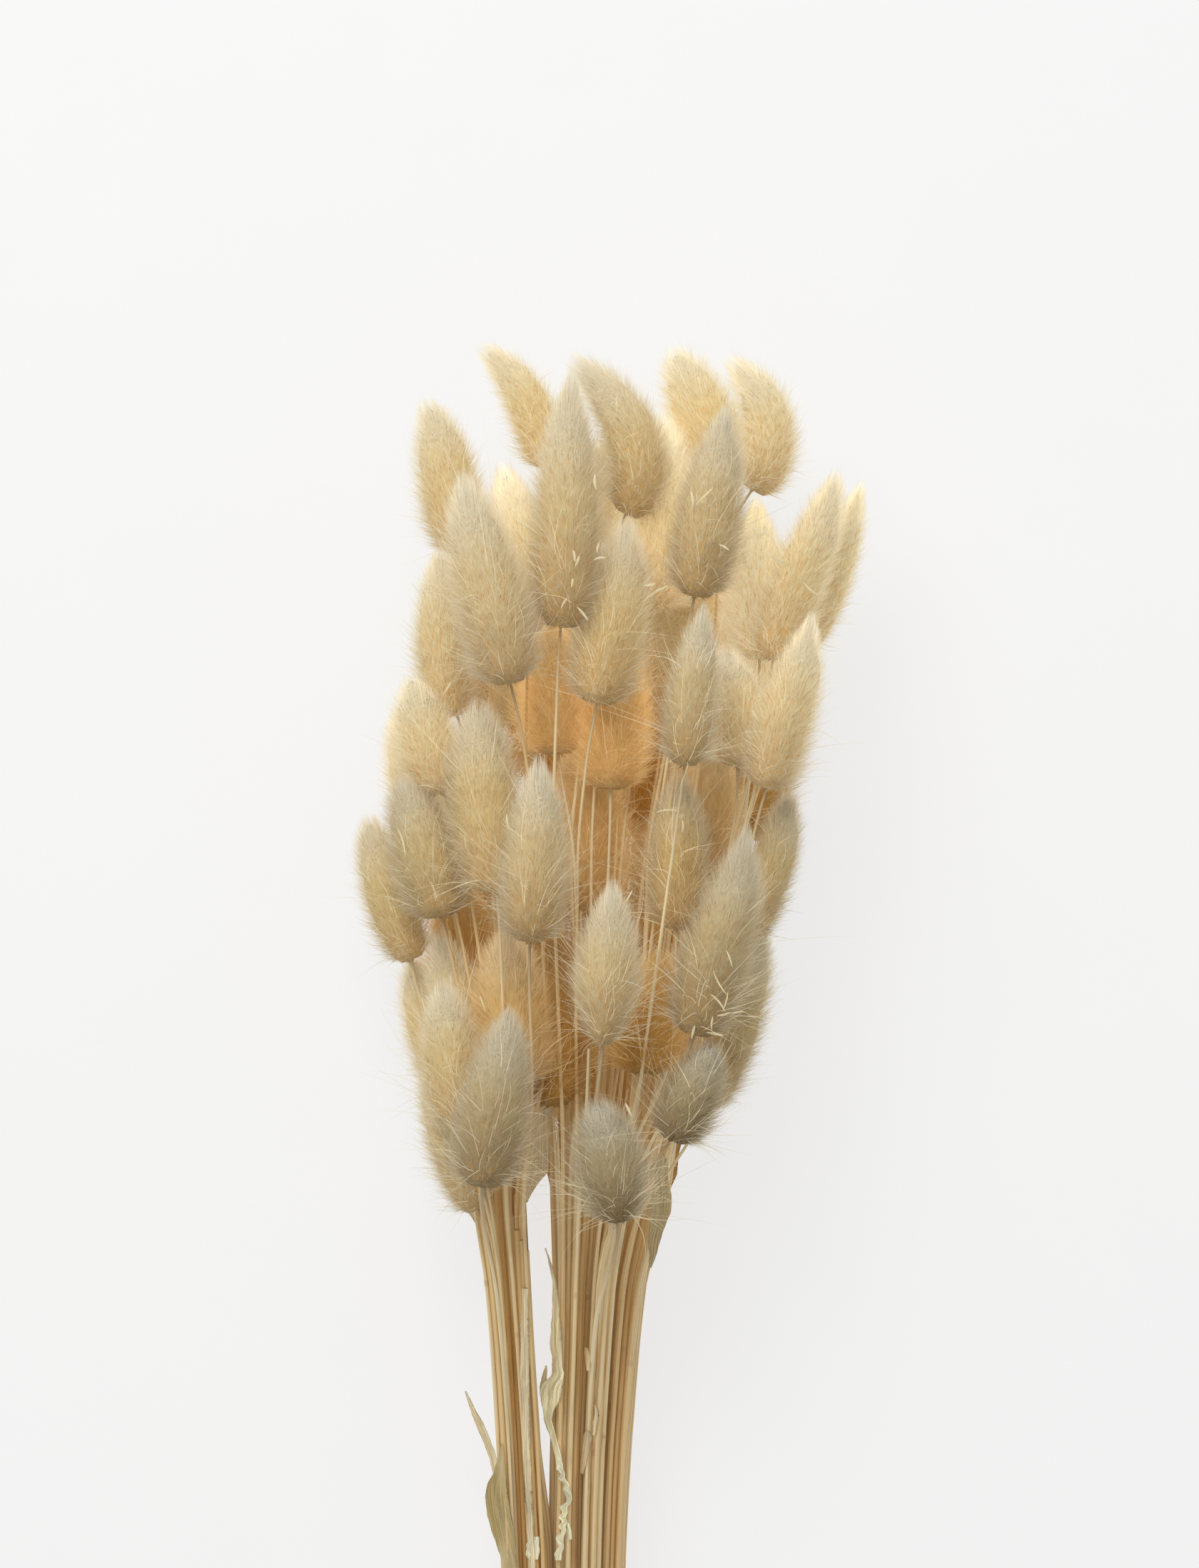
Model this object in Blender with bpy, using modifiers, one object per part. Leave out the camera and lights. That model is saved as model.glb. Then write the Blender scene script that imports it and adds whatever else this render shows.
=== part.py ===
"""Bunch of dried hare's-tail grass (Lagurus ovatus), tied low on its stems and lying on its side.

The stems run along Y with the soft heads towards +Y and the cut ends towards -Y; Z is up and the
bunch rests on Z = 0. Each shoot is one straw stem with its head grown on it. The heads are slim
cores covered in tufts that lean towards the tip, placed by a rule over the whole surface.
Everything is worked out in millimetres and made in metres.
"""

import math
import random

import bmesh
import bpy
import numpy as np

MM = 0.001

# Stems
STEM_FOOT_RADIUS = 1.15  # at the cut end and at the tie
STEM_NECK_RADIUS = 0.8  # just under the head
STEM_KNOTS = (-262.0, -209.0, -157.0, -106.0, -53.0, 4.0, 58.0)
CUT_Y = (-346.0, -330.0)  # the stems are cut to slightly different lengths
NECK_LENGTH = 9.0  # straight stem in line with the head, under it
NECK_CLEAR = 13.0  # no other bend of the stem nearer than this to the head

# Heads
SIDES = 6
STATIONS = (0.0, 0.05, 0.16, 0.29, 0.42, 0.55, 0.68, 0.80, 0.91, 1.0)  # base to tip
OUTLINE = (0.11, 0.62, 0.89, 1.0, 1.0, 0.95, 0.86, 0.72, 0.50, 0.10)  # tuft tips, as a share
ENVELOPE_SHARE = 0.93  # tuft tips against the full width of the soft hair
CORE_SHARE = 0.66  # core against the tuft tips
TUFT_TURN = math.radians(31.0)  # each row of tufts is turned this much from the last
TUFT_LEAN = 0.62  # how far a tuft leans towards the tip, in row lengths

# Tie
TIE_X = -13.0
TIE_Y = -262.0
TWINE_RADIUS = 1.0
TWINE_WRAPS = (-0.9, 0.9)  # each turn's place along Y, from the tie's middle
WRAP_POINTS = 20
KNOT_SHARE = 0.95  # the twine is drawn a little thinner in the knot
# The knot's loop and its two short ends, from the top of the tie
KNOT = (
    ((-3.2, -1.6, -0.2), (-1.2, -0.8, 1.2), (1.2, 0.8, 1.2), (3.2, 1.6, -0.2)),
    ((-0.6, 2.4, 0.4), (-0.8, 0.4, 1.9), (1.6, -2.2, 1.6), (6.0, -7.5, 1.0), (9.5, -13.0, 0.1)),
    ((0.6, -2.4, 0.5), (0.8, 0.0, 2.0), (-1.8, 2.4, 1.5), (-7.0, 6.0, 0.2), (-10.5, 9.5, -2.0)),
)

# Packing
CLEAR = 0.36  # between neighbouring stems or heads
SPREAD_Y = -135.0  # where the stems part into two sheaves with a gap between them
LEFT_SHEAF = (-36.0, -22.0)
RIGHT_SHEAF = (-16.0, 8.5)
SHEAF_HEIGHT = 27.0  # middle of the sheaves over the ground
SHEAF_SHARE = 0.30  # how far a stem lies from that height there, against its head
MIDDLE_HEIGHT = 45.0  # middle of the heads over the ground
FOOT_SPLAY = 0.003  # how the cut ends spread below the tie, for each mm of a stem's offset
MOST_LEAN = 0.55  # steepest slope at which a stem joins its head
LEVEL_STEP = 2.0  # the levels across the bunch at which room is made
ROUNDS = 900
HOLD = 0.02  # how strongly the shoots are first held on their planned lines
HEAD_ROOM = 0.12  # more room round a head, whose tufts stand between the levels
FLOOR_SINK = 0.57  # the lowest tufts and the twine are pressed flat by this much

# Each head: its middle line (x, y) from tip to base at four places, the width of its soft hair,
# and the height of its middle line over the ground at the base and at the tip.
HEADS = (
    ((-35.4, 143.2), (-26, 134), (-20.6, 122), (-19, 108), 12.4, 45, 42),
    ((-11.2, 134), (-12, 112), (-12.4, 86), (-14.4, 63.2), 18.6, 70, 77),
    ((-12.6, 138), (-5, 132), (3, 122), (1.6, 95), 14.0, 58, 66),
    ((17.6, 143), (22, 132), (28, 118), (30, 104), 16.8, 43, 40),
    ((33.6, 137.6), (43, 131), (46.4, 120), (38, 102), 14.8, 55, 59),
    ((31.2, 125.2), (29, 108), (26, 90), (23, 71.4), 17.0, 72, 80),
    ((-53.6, 127.6), (-49, 116), (-46, 102), (-42, 85), 16.4, 50, 50),
    ((-42, 105.6), (-38.4, 88), (-33, 66), (-29, 47.6), 21.6, 75, 84),
    ((-31.2, 109.2), (-28, 96), (-25, 80), (-23, 62), 15.6, 55, 53),
    ((-49.6, 86.4), (-49, 70), (-48, 52), (-44, 38), 16.0, 51, 55),
    ((2.4, 94.2), (0, 78), (-3, 60), (-6.4, 41), 17.6, 66, 70),
    ((15, 123.6), (14, 104), (11, 84), (8, 68), 18.6, 48, 46),
    ((25, 70), (23, 54), (21, 38), (19.4, 24.8), 13.6, 80, 86),
    ((63.6, 107), (59, 92), (52, 74), (45, 54), 16.8, 58, 60),
    ((69.4, 104.4), (66, 90), (62, 74), (56, 59), 12.4, 40, 40),
    ((56, 67.6), (53, 54), (47.6, 36), (42.4, 18), 17.0, 66, 70),
    ((40, 101), (40.4, 88), (41, 70), (41, 54), 14.4, 46, 44),
    ((35, 82), (37, 66), (38.6, 50), (38, 32), 14.4, 32, 32),
    ((31.6, 58.8), (33.2, 47), (34.8, 36), (35.4, 24), 15.0, 58, 62),
    ((-37.6, 43.2), (-36.8, 26), (-35, 8), (-32, -10), 17.0, 63, 68),
    ((-55, 51), (-52, 38), (-49, 26), (-46, 17.6), 16.4, 52, 54),
    ((-62.4, 41.4), (-59.6, 28), (-56.4, 16), (-52, 4), 15.2, 40, 40),
    ((-21, 27.6), (-21, 12), (-22.4, -6), (-24, -24), 19.0, 82, 89),
    ((-0.4, -6.4), (-1, -22), (-2, -38), (-2.8, -52.4), 18.4, 84, 91),
    ((37, 8), (33.6, -11), (28, -30), (22, -50), 20.0, 76, 83),
    ((28, -51.4), (25, -60), (20.4, -70), (15, -79.4), 14.8, 72, 79),
    ((51.6, 18), (49, 4), (45, -10), (40, -24), 15.0, 52, 53),
    ((43, -20), (40, -36), (35, -54), (28, -72), 16.0, 46, 46),
    ((18, 23), (17.6, 8), (17, -7), (16, -22), 16.8, 60, 62),
    ((-52, -21.6), (-49.6, -35), (-47, -49), (-44, -64), 15.6, 43, 41),
    ((-47.6, -34.8), (-46.4, -48), (-44.8, -62), (-42, -76), 15.6, 58, 61),
    ((-28.4, -42.6), (-31, -59), (-34, -76), (-36.4, -93.2), 19.0, 70, 77),
    ((-6, -67), (-2.8, -78), (-0.4, -90), (1.6, -101.2), 18.0, 72, 81),
    ((-69, 11), (-66, -2), (-62.4, -16), (-57, -30), 15.2, 42, 42),
    ((-60, 23), (-55.6, 10), (-51.6, -4), (-48, -18), 17.6, 57, 60),
    ((-52, -58), (-49.6, -72), (-45, -88), (-39, -101), 16.0, 35, 33),
    ((-58, -28), (-55.4, -40), (-52, -53), (-48, -66), 14.8, 33, 32),
    ((-27, -20), (-28, -34), (-27, -49), (-25, -64), 16.0, 52, 50),
    ((-17, -20), (-18, -37), (-18, -54), (-17, -72), 16.0, 46, 45),
    ((1, 64), (0.4, 48), (-0.4, 32), (-1, 17.6), 16.0, 50, 46),
    ((-18, 68), (-17.2, 54), (-16.6, 40), (-16, 28), 16.0, 47, 44),
    ((14, -26), (11.2, -39), (9.2, -50), (8, -62), 15.6, 56, 54),
    ((22, 102), (21.6, 84), (20, 66), (17, 49), 16.8, 26, 22),
    ((31, 100), (30, 82), (28, 64), (25, 48), 16.8, 20, 14),
    ((-44, 88), (-41, 70), (-37, 52), (-33, 36), 16.8, 10, 2),
    ((-16, 70), (-15.2, 52), (-14.4, 34), (-14, 16), 17.2, 20, 15),
    ((9, 60), (8, 42), (6.6, 22), (5, 4), 17.2, 8, 6),
    ((46, 56), (44, 38), (40.4, 20), (36, 4), 17.2, 10, 3),
    ((-50, 30), (-46, 12), (-41.6, -6), (-38, -24), 17.2, 16, 12),
    ((-28, 10), (-26.6, -8), (-24.8, -26), (-23, -44), 17.6, 9, 6),
    ((-2, 0), (-2.4, -18), (-3.2, -36), (-4, -56), 17.6, 9, 7),
    ((31, 12), (28, -6), (23.4, -26), (18, -46), 17.6, 12, 7),
    ((-34, -48), (-33.2, -62), (-32, -76), (-30.4, -90), 16.0, 12, 7),
    ((-8, 36), (-7.6, 18), (-7.4, 0), (-8, -18), 17.0, 33, 31),
    ((26, 38), (25.4, 22), (24, 6), (22, -10), 16.6, 40, 38),
    ((-45, -4), (-43, -20), (-41, -38), (-38, -56), 16.6, 28, 25),
)


def clear_scene():
    """Empties the scene and makes the two collections."""
    for item in list(bpy.data.objects):
        bpy.data.objects.remove(item)
    made = []
    for name in ("Hares_tail_bunch", "Cutters"):
        group = bpy.data.collections.new(name)
        bpy.context.scene.collection.children.link(group)
        made.append(group)
    return made


def material(name, colour, roughness):
    made = bpy.data.materials.new(name)
    made.use_nodes = True
    surface = made.node_tree.nodes["Principled BSDF"]
    surface.inputs["Base Color"].default_value = (*colour, 1.0)
    surface.inputs["Roughness"].default_value = roughness
    return made


def tie_slots(count):
    """Places for the stems inside the tie: the middle ones of a close packing, as (x, z)."""
    pitch = 2 * STEM_FOOT_RADIUS + CLEAR
    rows = range(-6, 7)
    places = [
        (pitch * (i + 0.5 * (j % 2)), pitch * j * math.sqrt(0.75)) for i in rows for j in rows
    ]
    places.sort(key=lambda p: (round(math.hypot(p[0] - 0.6, p[1] - 0.4), 6), p))
    chosen = np.array(places[:count])
    return chosen - chosen.mean(axis=0)


def sheaf_places(x_base, z_base):
    """Where each stem crosses the level at which the bunch parts into two sheaves."""
    order = np.argsort(x_base, kind="stable")
    count = len(order)
    left_width = LEFT_SHEAF[1] - LEFT_SHEAF[0]
    right_width = RIGHT_SHEAF[1] - RIGHT_SHEAF[0]
    in_left = round(count * left_width / (left_width + right_width))
    x = np.empty(count)
    x[order[:in_left]] = np.linspace(*LEFT_SHEAF, in_left)
    x[order[in_left:]] = np.linspace(*RIGHT_SHEAF, count - in_left)
    return x, SHEAF_HEIGHT + SHEAF_SHARE * (z_base - MIDDLE_HEIGHT)


def match_slots(slots, x, z):
    """The slot of each stem, chosen so that as few stems as possible cross."""
    target = np.column_stack([(x - x.mean()) / x.std(), (z - z.mean()) / z.std()])
    places = slots / slots.std(axis=0)
    by_height = np.lexsort((target[:, 0], np.round(target[:, 1] * 1.6)))
    slot_order = np.lexsort((places[:, 0], np.round(places[:, 1] * 1.6)))
    slot_of = np.empty(len(x), int)
    slot_of[by_height] = slot_order
    cost = ((target[:, None, :] - places[None, :, :]) ** 2).sum(axis=2)
    for _ in range(8):
        for a in range(len(x)):
            for b in range(a):
                p, q = slot_of[a], slot_of[b]
                if cost[a, q] + cost[b, p] < cost[a, p] + cost[b, q] - 1e-9:
                    slot_of[a], slot_of[b] = q, p
    return slot_of


def hermite(y, y0, y1, p0, p1, s0, s1):
    """Smooth curve from p0 at y0 to p1 at y1 with slopes s0 and s1."""
    span = y1 - y0
    u = (y - y0) / span
    return (
        (2 * u**3 - 3 * u**2 + 1) * p0
        + (u**3 - 2 * u**2 + u) * span * s0
        + (3 * u**2 - 2 * u**3) * p1
        + (u**3 - u**2) * span * s1
    )


def head_line(head):
    """The head's middle line as (x, y, z) at the stations, base first."""
    xy = np.array(head[3::-1], float)
    run = np.concatenate([[0.0], np.cumsum(np.hypot(*np.diff(xy, axis=0).T))])
    fit_x = np.polyfit(run, xy[:, 0], 3)
    fit_y = np.polyfit(run, xy[:, 1], 3)
    at = np.array(STATIONS) * run[-1]
    z = head[5] + (head[6] - head[5]) * np.array(STATIONS)
    return np.column_stack([np.polyval(fit_x, at), np.polyval(fit_y, at), z])


class Shoot:
    """One stem with its head: the middle line through its rings, and how thick it is there."""

    def __init__(self, head, slot, sheaf, cut_y, centre_z):
        line = head_line(head)
        base = line[0]
        if line[1, 1] - base[1] > 0.1:
            slope = (line[2] - base)[[0, 2]] / (line[2, 1] - base[1])
            slope = np.clip(slope, -MOST_LEAN, MOST_LEAN)
        else:
            slope = np.zeros(2)
        self.slot = np.array([slot[0] + TIE_X, slot[1] + centre_z])
        neck_y = base[1] - NECK_LENGTH
        knots = [cut_y] + [y for y in STEM_KNOTS if y < base[1] - NECK_CLEAR - NECK_LENGTH]
        knots.append(neck_y)
        stem = [self.stem_place(y, base, slope, slot, sheaf) for y in knots]
        self.rings = np.vstack([[(p[0], y, p[1]) for p, y in zip(stem, knots)], line])
        self.coarse = np.array([*knots, base[1], line[-1, 1]])
        self.fixed = np.array([y <= TIE_Y + 1 for y in self.coarse])
        self.stem_rings = len(knots)
        share = np.clip((np.array(knots) - cut_y) / (base[1] - cut_y), 0, 1)
        stem_radius = STEM_FOOT_RADIUS + (STEM_NECK_RADIUS - STEM_FOOT_RADIUS) * share**1.5
        tufts = np.array(OUTLINE) * head[4] / 2 * ENVELOPE_SHARE
        tufts[0] = STEM_NECK_RADIUS
        self.outer = np.concatenate([stem_radius, tufts])
        self.core = np.concatenate([stem_radius, tufts * CORE_SHARE])
        self.core[self.stem_rings] = STEM_NECK_RADIUS

    def thickness(self, levels):
        """Radius at each level, 0 outside the shoot, with a little room left past its tip."""
        y = np.append(self.rings[:, 1], self.rings[-1, 1] + LEVEL_STEP)
        room = np.where(self.outer > STEM_FOOT_RADIUS, HEAD_ROOM, 0)
        return np.interp(levels, y, np.append(self.outer + room, self.outer[-1]), left=0, right=0)

    def stem_place(self, y, base, slope, slot, sheaf):
        """(x, z) of the stem at this y, before the stems are settled among each other."""
        if y <= TIE_Y:
            return self.slot + np.array(slot) * FOOT_SPLAY * (TIE_Y - y)
        middle, top = np.array(sheaf), base[[0, 2]]
        low_slope = (middle - self.slot) / (SPREAD_Y - TIE_Y)
        high_slope = (top - middle) / (base[1] - SPREAD_Y)
        between = 0.5 * (low_slope + np.clip(high_slope, -0.4, 0.4))
        if y < SPREAD_Y:
            return hermite(y, TIE_Y, SPREAD_Y, self.slot, middle, low_slope * 0.9, between)
        return hermite(y, SPREAD_Y, base[1], middle, top, between, slope)


def plan_shoots():
    """All shoots along their planned lines, straight out of the table of heads."""
    draw = random.Random(41)
    slots = tie_slots(len(HEADS))
    reach = np.hypot(*slots.T).max() + STEM_FOOT_RADIUS + CLEAR
    centre_z = reach + 2 * TWINE_RADIUS - FLOOR_SINK
    x_base = np.array([h[3][0] for h in HEADS], float)
    z_base = np.array([h[5] for h in HEADS], float)
    x_mid, z_mid = sheaf_places(x_base, z_base)
    slot_of = match_slots(slots, x_mid, z_mid)
    shoots = [
        Shoot(head, slots[slot_of[i]], (x_mid[i], z_mid[i]), draw.uniform(*CUT_Y), centre_z)
        for i, head in enumerate(HEADS)
    ]
    return shoots, reach, centre_z


def hats(levels, knots):
    """How much each knot counts at each level, for straight lines between the knots."""
    return np.column_stack([np.interp(levels, knots, row) for row in np.eye(len(knots))])


def pushes(x, z, radius, mobile):
    """How each shoot has to move at each level so that none runs into another."""
    dx = x[:, :, None] - x[:, None, :]
    dz = z[:, :, None] - z[:, None, :]
    gap = np.sqrt(dx**2 + dz**2) + 1e-6
    wanted = radius[:, :, None] + radius[:, None, :] + CLEAR
    both = (radius[:, :, None] > 0) & (radius[:, None, :] > 0)
    deep = np.where(both, np.maximum(wanted - gap, 0), 0)
    index = np.arange(x.shape[1])
    deep[:, index, index] = 0
    share = mobile[:, :, None] / (mobile[:, :, None] + mobile[:, None, :])
    step = deep * share / gap
    return (step * dx).sum(axis=2), (step * dz).sum(axis=2), deep.max(axis=2)


def slanted(x, z, radius, levels):
    """Radius of each level's section, larger where the shoot runs at a slant to the levels."""
    slope = np.hypot(np.gradient(x, levels, axis=0), np.gradient(z, levels, axis=0))
    return radius * np.sqrt(1 + np.minimum(slope, 1.2) ** 2)


def settle(shoots):
    """Moves the stems and heads apart until none touches another, each with its shape kept."""
    levels = np.arange(CUT_Y[0], 146.0, LEVEL_STEP)
    lines = [s.rings for s in shoots]
    x0 = np.column_stack([np.interp(levels, r[:, 1], r[:, 0]) for r in lines])
    z0 = np.column_stack([np.interp(levels, r[:, 1], r[:, 2]) for r in lines])
    thick = np.column_stack([s.thickness(levels) for s in shoots])
    mobile = 1 / (1 + thick**2)
    weights = [hats(levels, s.coarse) * (thick[:, [i]] > 0) for i, s in enumerate(shoots)]
    moves = [np.zeros((len(s.coarse), 2)) for s in shoots]
    x, z = x0.copy(), z0.copy()
    for turn in range(ROUNDS):
        if turn % 10 == 0:
            radius = slanted(x, z, thick, levels)
        push_x, push_z, deep = pushes(x, z, radius, mobile)
        under = np.where(thick > 0, np.maximum(radius - FLOOR_SINK - z, 0), 0)
        push_z += under
        held = max(0.0, 1 - 1.5 * turn / ROUNDS)
        for i, s in enumerate(shoots):
            w = weights[i]
            touched = ((deep[:, i] > 0) | (under[:, i] > 0)).astype(float)
            count = np.maximum(w.T @ touched, 0.6)
            step = np.column_stack([w.T @ push_x[:, i], w.T @ push_z[:, i]]) / count[:, None]
            moves[i] += 0.6 * step
            moves[i] *= np.array([1 - HOLD * held, 1 - 0.3 * HOLD * held])
            inner = moves[i][1:-1]
            inner += 0.06 * held * (0.5 * (moves[i][:-2] + moves[i][2:]) - inner)
            moves[i][s.fixed] = 0
            x[:, i] = x0[:, i] + w @ moves[i][:, 0]
            z[:, i] = z0[:, i] + w @ moves[i][:, 1]
        if held == 0 and deep.max() < 0.07 and under.max() < 0.1:
            break
    print("settled in", turn, "rounds; deepest overlap left", round(float(deep.max()), 3))
    for i, s in enumerate(shoots):
        share = hats(s.rings[:, 1], s.coarse)
        s.rings[:, 0] += share @ moves[i][:, 0]
        s.rings[:, 2] += share @ moves[i][:, 1]


def mesh_of_tube(name, points, radii, tilts=None, cyclic=False):
    """A round tube with filled ends through the points, as a mesh."""
    curve = bpy.data.curves.new(name, "CURVE")
    curve.dimensions = "3D"
    curve.bevel_depth = MM
    curve.bevel_resolution = (SIDES - 4) // 2
    curve.use_fill_caps = not cyclic
    spline = curve.splines.new("POLY")
    spline.points.add(len(points) - 1)
    spline.use_cyclic_u = cyclic
    for i, point in enumerate(spline.points):
        point.co = (*(np.array(points[i]) * MM), 1)
        point.radius = radii[i]
        point.tilt = 0 if tilts is None else tilts[i]
    guide = bpy.data.objects.new(name, curve)
    bpy.context.scene.collection.objects.link(guide)
    bpy.context.view_layer.update()
    graph = bpy.context.evaluated_depsgraph_get()
    mesh = bpy.data.meshes.new_from_object(guide.evaluated_get(graph))
    bpy.data.objects.remove(guide)
    mesh.materials.clear()
    return mesh


def raise_tufts(work, shoot, draw):
    """Raises a tuft on every face of the head, leaning towards its tip."""
    axis = shoot.rings * MM
    quads = [f for f in work.faces if len(f.verts) == 4]
    for index, face in enumerate(quads):
        band = index // SIDES
        if band <= shoot.stem_rings:
            continue
        a, b = axis[band], axis[band + 1]
        forward = (b - a) / np.linalg.norm(b - a)
        middle = np.array(face.calc_center_median())
        outward = middle - a - forward * np.dot(middle - a, forward)
        outward /= np.linalg.norm(outward)
        outer = 0.5 * (shoot.outer[band] + shoot.outer[band + 1]) * draw.uniform(0.9, 1.0) * MM
        last = band == len(axis) - 2
        lean = (0.2 if last else TUFT_LEAN * draw.uniform(0.8, 1.2)) * np.linalg.norm(b - a)
        made = bmesh.ops.poke(work, faces=[face])["verts"][0]
        made.co = a + forward * (np.dot(middle - a, forward) + lean) + outward * outer


def make_shoot(name, shoot, look, group, draw):
    tilts = np.full(len(shoot.rings), draw.uniform(0, math.pi))
    tilts[shoot.stem_rings :] += TUFT_TURN * np.arange(len(tilts) - shoot.stem_rings)
    mesh = mesh_of_tube(name, shoot.rings, shoot.core, tilts)
    work = bmesh.new()
    work.from_mesh(mesh)
    work.faces.ensure_lookup_table()
    raise_tufts(work, shoot, draw)
    return finish(name, work, mesh, look, group)


def finish(name, work, mesh, look, group):
    """Welds the mesh, turns its faces outwards and puts it in the scene."""
    bmesh.ops.remove_doubles(work, verts=work.verts, dist=2e-6)
    bmesh.ops.recalc_face_normals(work, faces=work.faces)
    work.to_mesh(mesh)
    work.free()
    made = bpy.data.objects.new(name, mesh)
    group.objects.link(made)
    mesh.materials.append(look)
    return made


def welded_tube(name, points, radii, look, group, cyclic=False):
    mesh = mesh_of_tube(name, points, radii, cyclic=cyclic)
    work = bmesh.new()
    work.from_mesh(mesh)
    return finish(name, work, mesh, look, group)


def apply_booleans(item):
    """Replaces the object's mesh with the one its modifiers make."""
    bpy.context.view_layer.update()
    graph = bpy.context.evaluated_depsgraph_get()
    made = bpy.data.meshes.new_from_object(item.evaluated_get(graph))
    item.modifiers.clear()
    item.data = made


def make_tie(reach, centre_z, look, group, cutters):
    """Two turns of twine round the stems with a small knot on top and two short ends."""
    ring = reach + TWINE_RADIUS
    turns = np.linspace(0, 2 * math.pi, WRAP_POINTS, endpoint=False) + math.pi / 2
    bodies = []
    for i, offset in enumerate(TWINE_WRAPS):
        points = [
            (TIE_X + ring * math.cos(t), TIE_Y + offset, centre_z + ring * math.sin(t))
            for t in turns
        ]
        radii = [TWINE_RADIUS] * WRAP_POINTS
        bodies.append(welded_tube(f"wrap_{i}", points, radii, look, cutters, cyclic=True))
    top = centre_z + ring
    for i, end in enumerate(KNOT):
        points = [(TIE_X + x, TIE_Y + y, top + z) for x, y, z in end]
        radii = [TWINE_RADIUS * KNOT_SHARE] * len(points)
        bodies.append(welded_tube(f"knot_{i}", points, radii, look, cutters))
    tie = bodies[0]
    cutters.objects.unlink(tie)
    group.objects.link(tie)
    tie.name = "tie_twine"
    for body in bodies[1:]:
        union = tie.modifiers.new("Join", "BOOLEAN")
        union.operation = "UNION"
        union.solver = "EXACT"
        union.object = body
    apply_booleans(tie)
    for body in bodies[1:]:
        bpy.data.objects.remove(body)
    return tie


def flatten_on_ground(items, cutters):
    """Cuts what reaches under the ground plane off flat, so that the bunch rests on small flats."""
    bpy.ops.mesh.primitive_cube_add(size=1.0, location=(0, -0.1, -0.01))
    ground = bpy.context.object
    ground.name = "ground_cutter"
    ground.scale = (0.4, 0.7, 0.02)
    for group in list(ground.users_collection):
        group.objects.unlink(ground)
    cutters.objects.link(ground)
    ground.hide_render = True
    ground.display_type = "WIRE"
    bpy.context.view_layer.update()
    for item in items:
        low = min(v.co.z for v in item.data.vertices)
        if low >= 0:
            continue
        cut = item.modifiers.new("Ground", "BOOLEAN")
        cut.operation = "DIFFERENCE"
        cut.solver = "EXACT"
        cut.object = ground
        apply_booleans(item)
    bpy.data.objects.remove(ground)


def stack_top(shoots, x, y, half):
    """Height of the top of the stems round this place, None where there are none."""
    tops = []
    for s in shoots:
        if not s.rings[0, 1] < y < s.rings[-1, 1]:
            continue
        px, pz, r = (np.interp(y, s.rings[:, 1], c) for c in (s.rings[:, 0], s.rings[:, 2], s.outer))
        if r < 1.5 and abs(px - x) < half + r:
            tops.append(pz + r)
    return max(tops) if tops else None


# Each leaf: (x, y) down its middle line, its half widths there, how far its edges fold up, and
# how far along the stems to look for what it lies on
LEAVES = (
    (
        "leaf_middle",
        ((-18.4, -114), (-17.8, -122), (-16.0, -133), (-17.6, -143), (-18.0, -152), (-17.4, -160),
         (-16.0, -170), (-14.2, -180), (-14.6, -190), (-16.0, -198)),
        (0.7, 1.3, 2.0, 1.7, 3.2, 2.4, 1.8, 2.2, 1.9, 1.4),
        0.55,
        2.0,
    ),
    (
        "leaf_left",
        ((-41.6, -153), (-39.4, -160), (-37.4, -167), (-35.2, -174), (-33.8, -182), (-32.8, -190),
         (-30.8, -198), (-28.8, -206)),
        (0.6, 1.0, 1.3, 1.9, 2.5, 2.4, 1.8, 1.2),
        0.5,
        1.0,
    ),
    (
        "leaf_right",
        ((19.0, -84), (18.0, -90), (16.6, -96), (15.0, -102), (13.4, -108)),
        (1.3, 2.2, 2.6, 2.0, 1.2),
        0.4,
        1.0,
    ),
)
LEAF_THICK = 0.65
LEAF_COLUMNS = 4


def make_leaf(name, line, halves, fold, reach, shoots, look, group, draw):
    """A thin dry leaf with ragged, rolled edges, lying on the stems it grew beside."""
    tops = []
    for (x, y), half in zip(line, halves):
        around = [stack_top(shoots, x, y + dy, half + 0.4 * reach) for dy in (-reach, 0, reach)]
        tops.append(max([t for t in around if t is not None], default=None))
    known = [i for i, t in enumerate(tops) if t is not None]
    tops = np.interp(range(len(tops)), known, [tops[i] for i in known])
    work = bmesh.new()
    rows = []
    for i, ((x, y), half) in enumerate(zip(line, halves)):
        row = []
        for c in range(LEAF_COLUMNS + 1):
            across = 2 * c / LEAF_COLUMNS - 1
            ragged = half * (1 + (draw.uniform(-0.15, 0.15) if abs(across) == 1 else 0))
            rise = fold * half * across**2 + 0.25 * half * math.sin(1.3 * i + 2 * across)
            z = tops[i] + CLEAR + 0.5 * LEAF_THICK + 0.25 * half + rise
            row.append(work.verts.new((np.array((x + across * ragged, y, z)) * MM).tolist()))
        rows.append(row)
    for upper, lower in zip(rows, rows[1:]):
        for c in range(LEAF_COLUMNS):
            work.faces.new((upper[c], upper[c + 1], lower[c + 1], lower[c]))
    mesh = bpy.data.meshes.new(name)
    made = finish(name, work, mesh, look, group)
    skin = made.modifiers.new("Blade", "SOLIDIFY")
    skin.thickness = LEAF_THICK * MM
    skin.offset = 0
    skin.use_even_offset = True
    apply_booleans(made)
    return made


def centre_on_origin(items):
    """Moves everything so that the middle of the footprint lies over the origin."""
    corners = np.array([v.co for item in items for v in item.data.vertices])
    middle = (corners.min(axis=0) + corners.max(axis=0)) / 2
    for item in items:
        for vertex in item.data.vertices:
            vertex.co.x -= middle[0]
            vertex.co.y -= middle[1]
    print("moved by", -middle[0] / MM, -middle[1] / MM)


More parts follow.
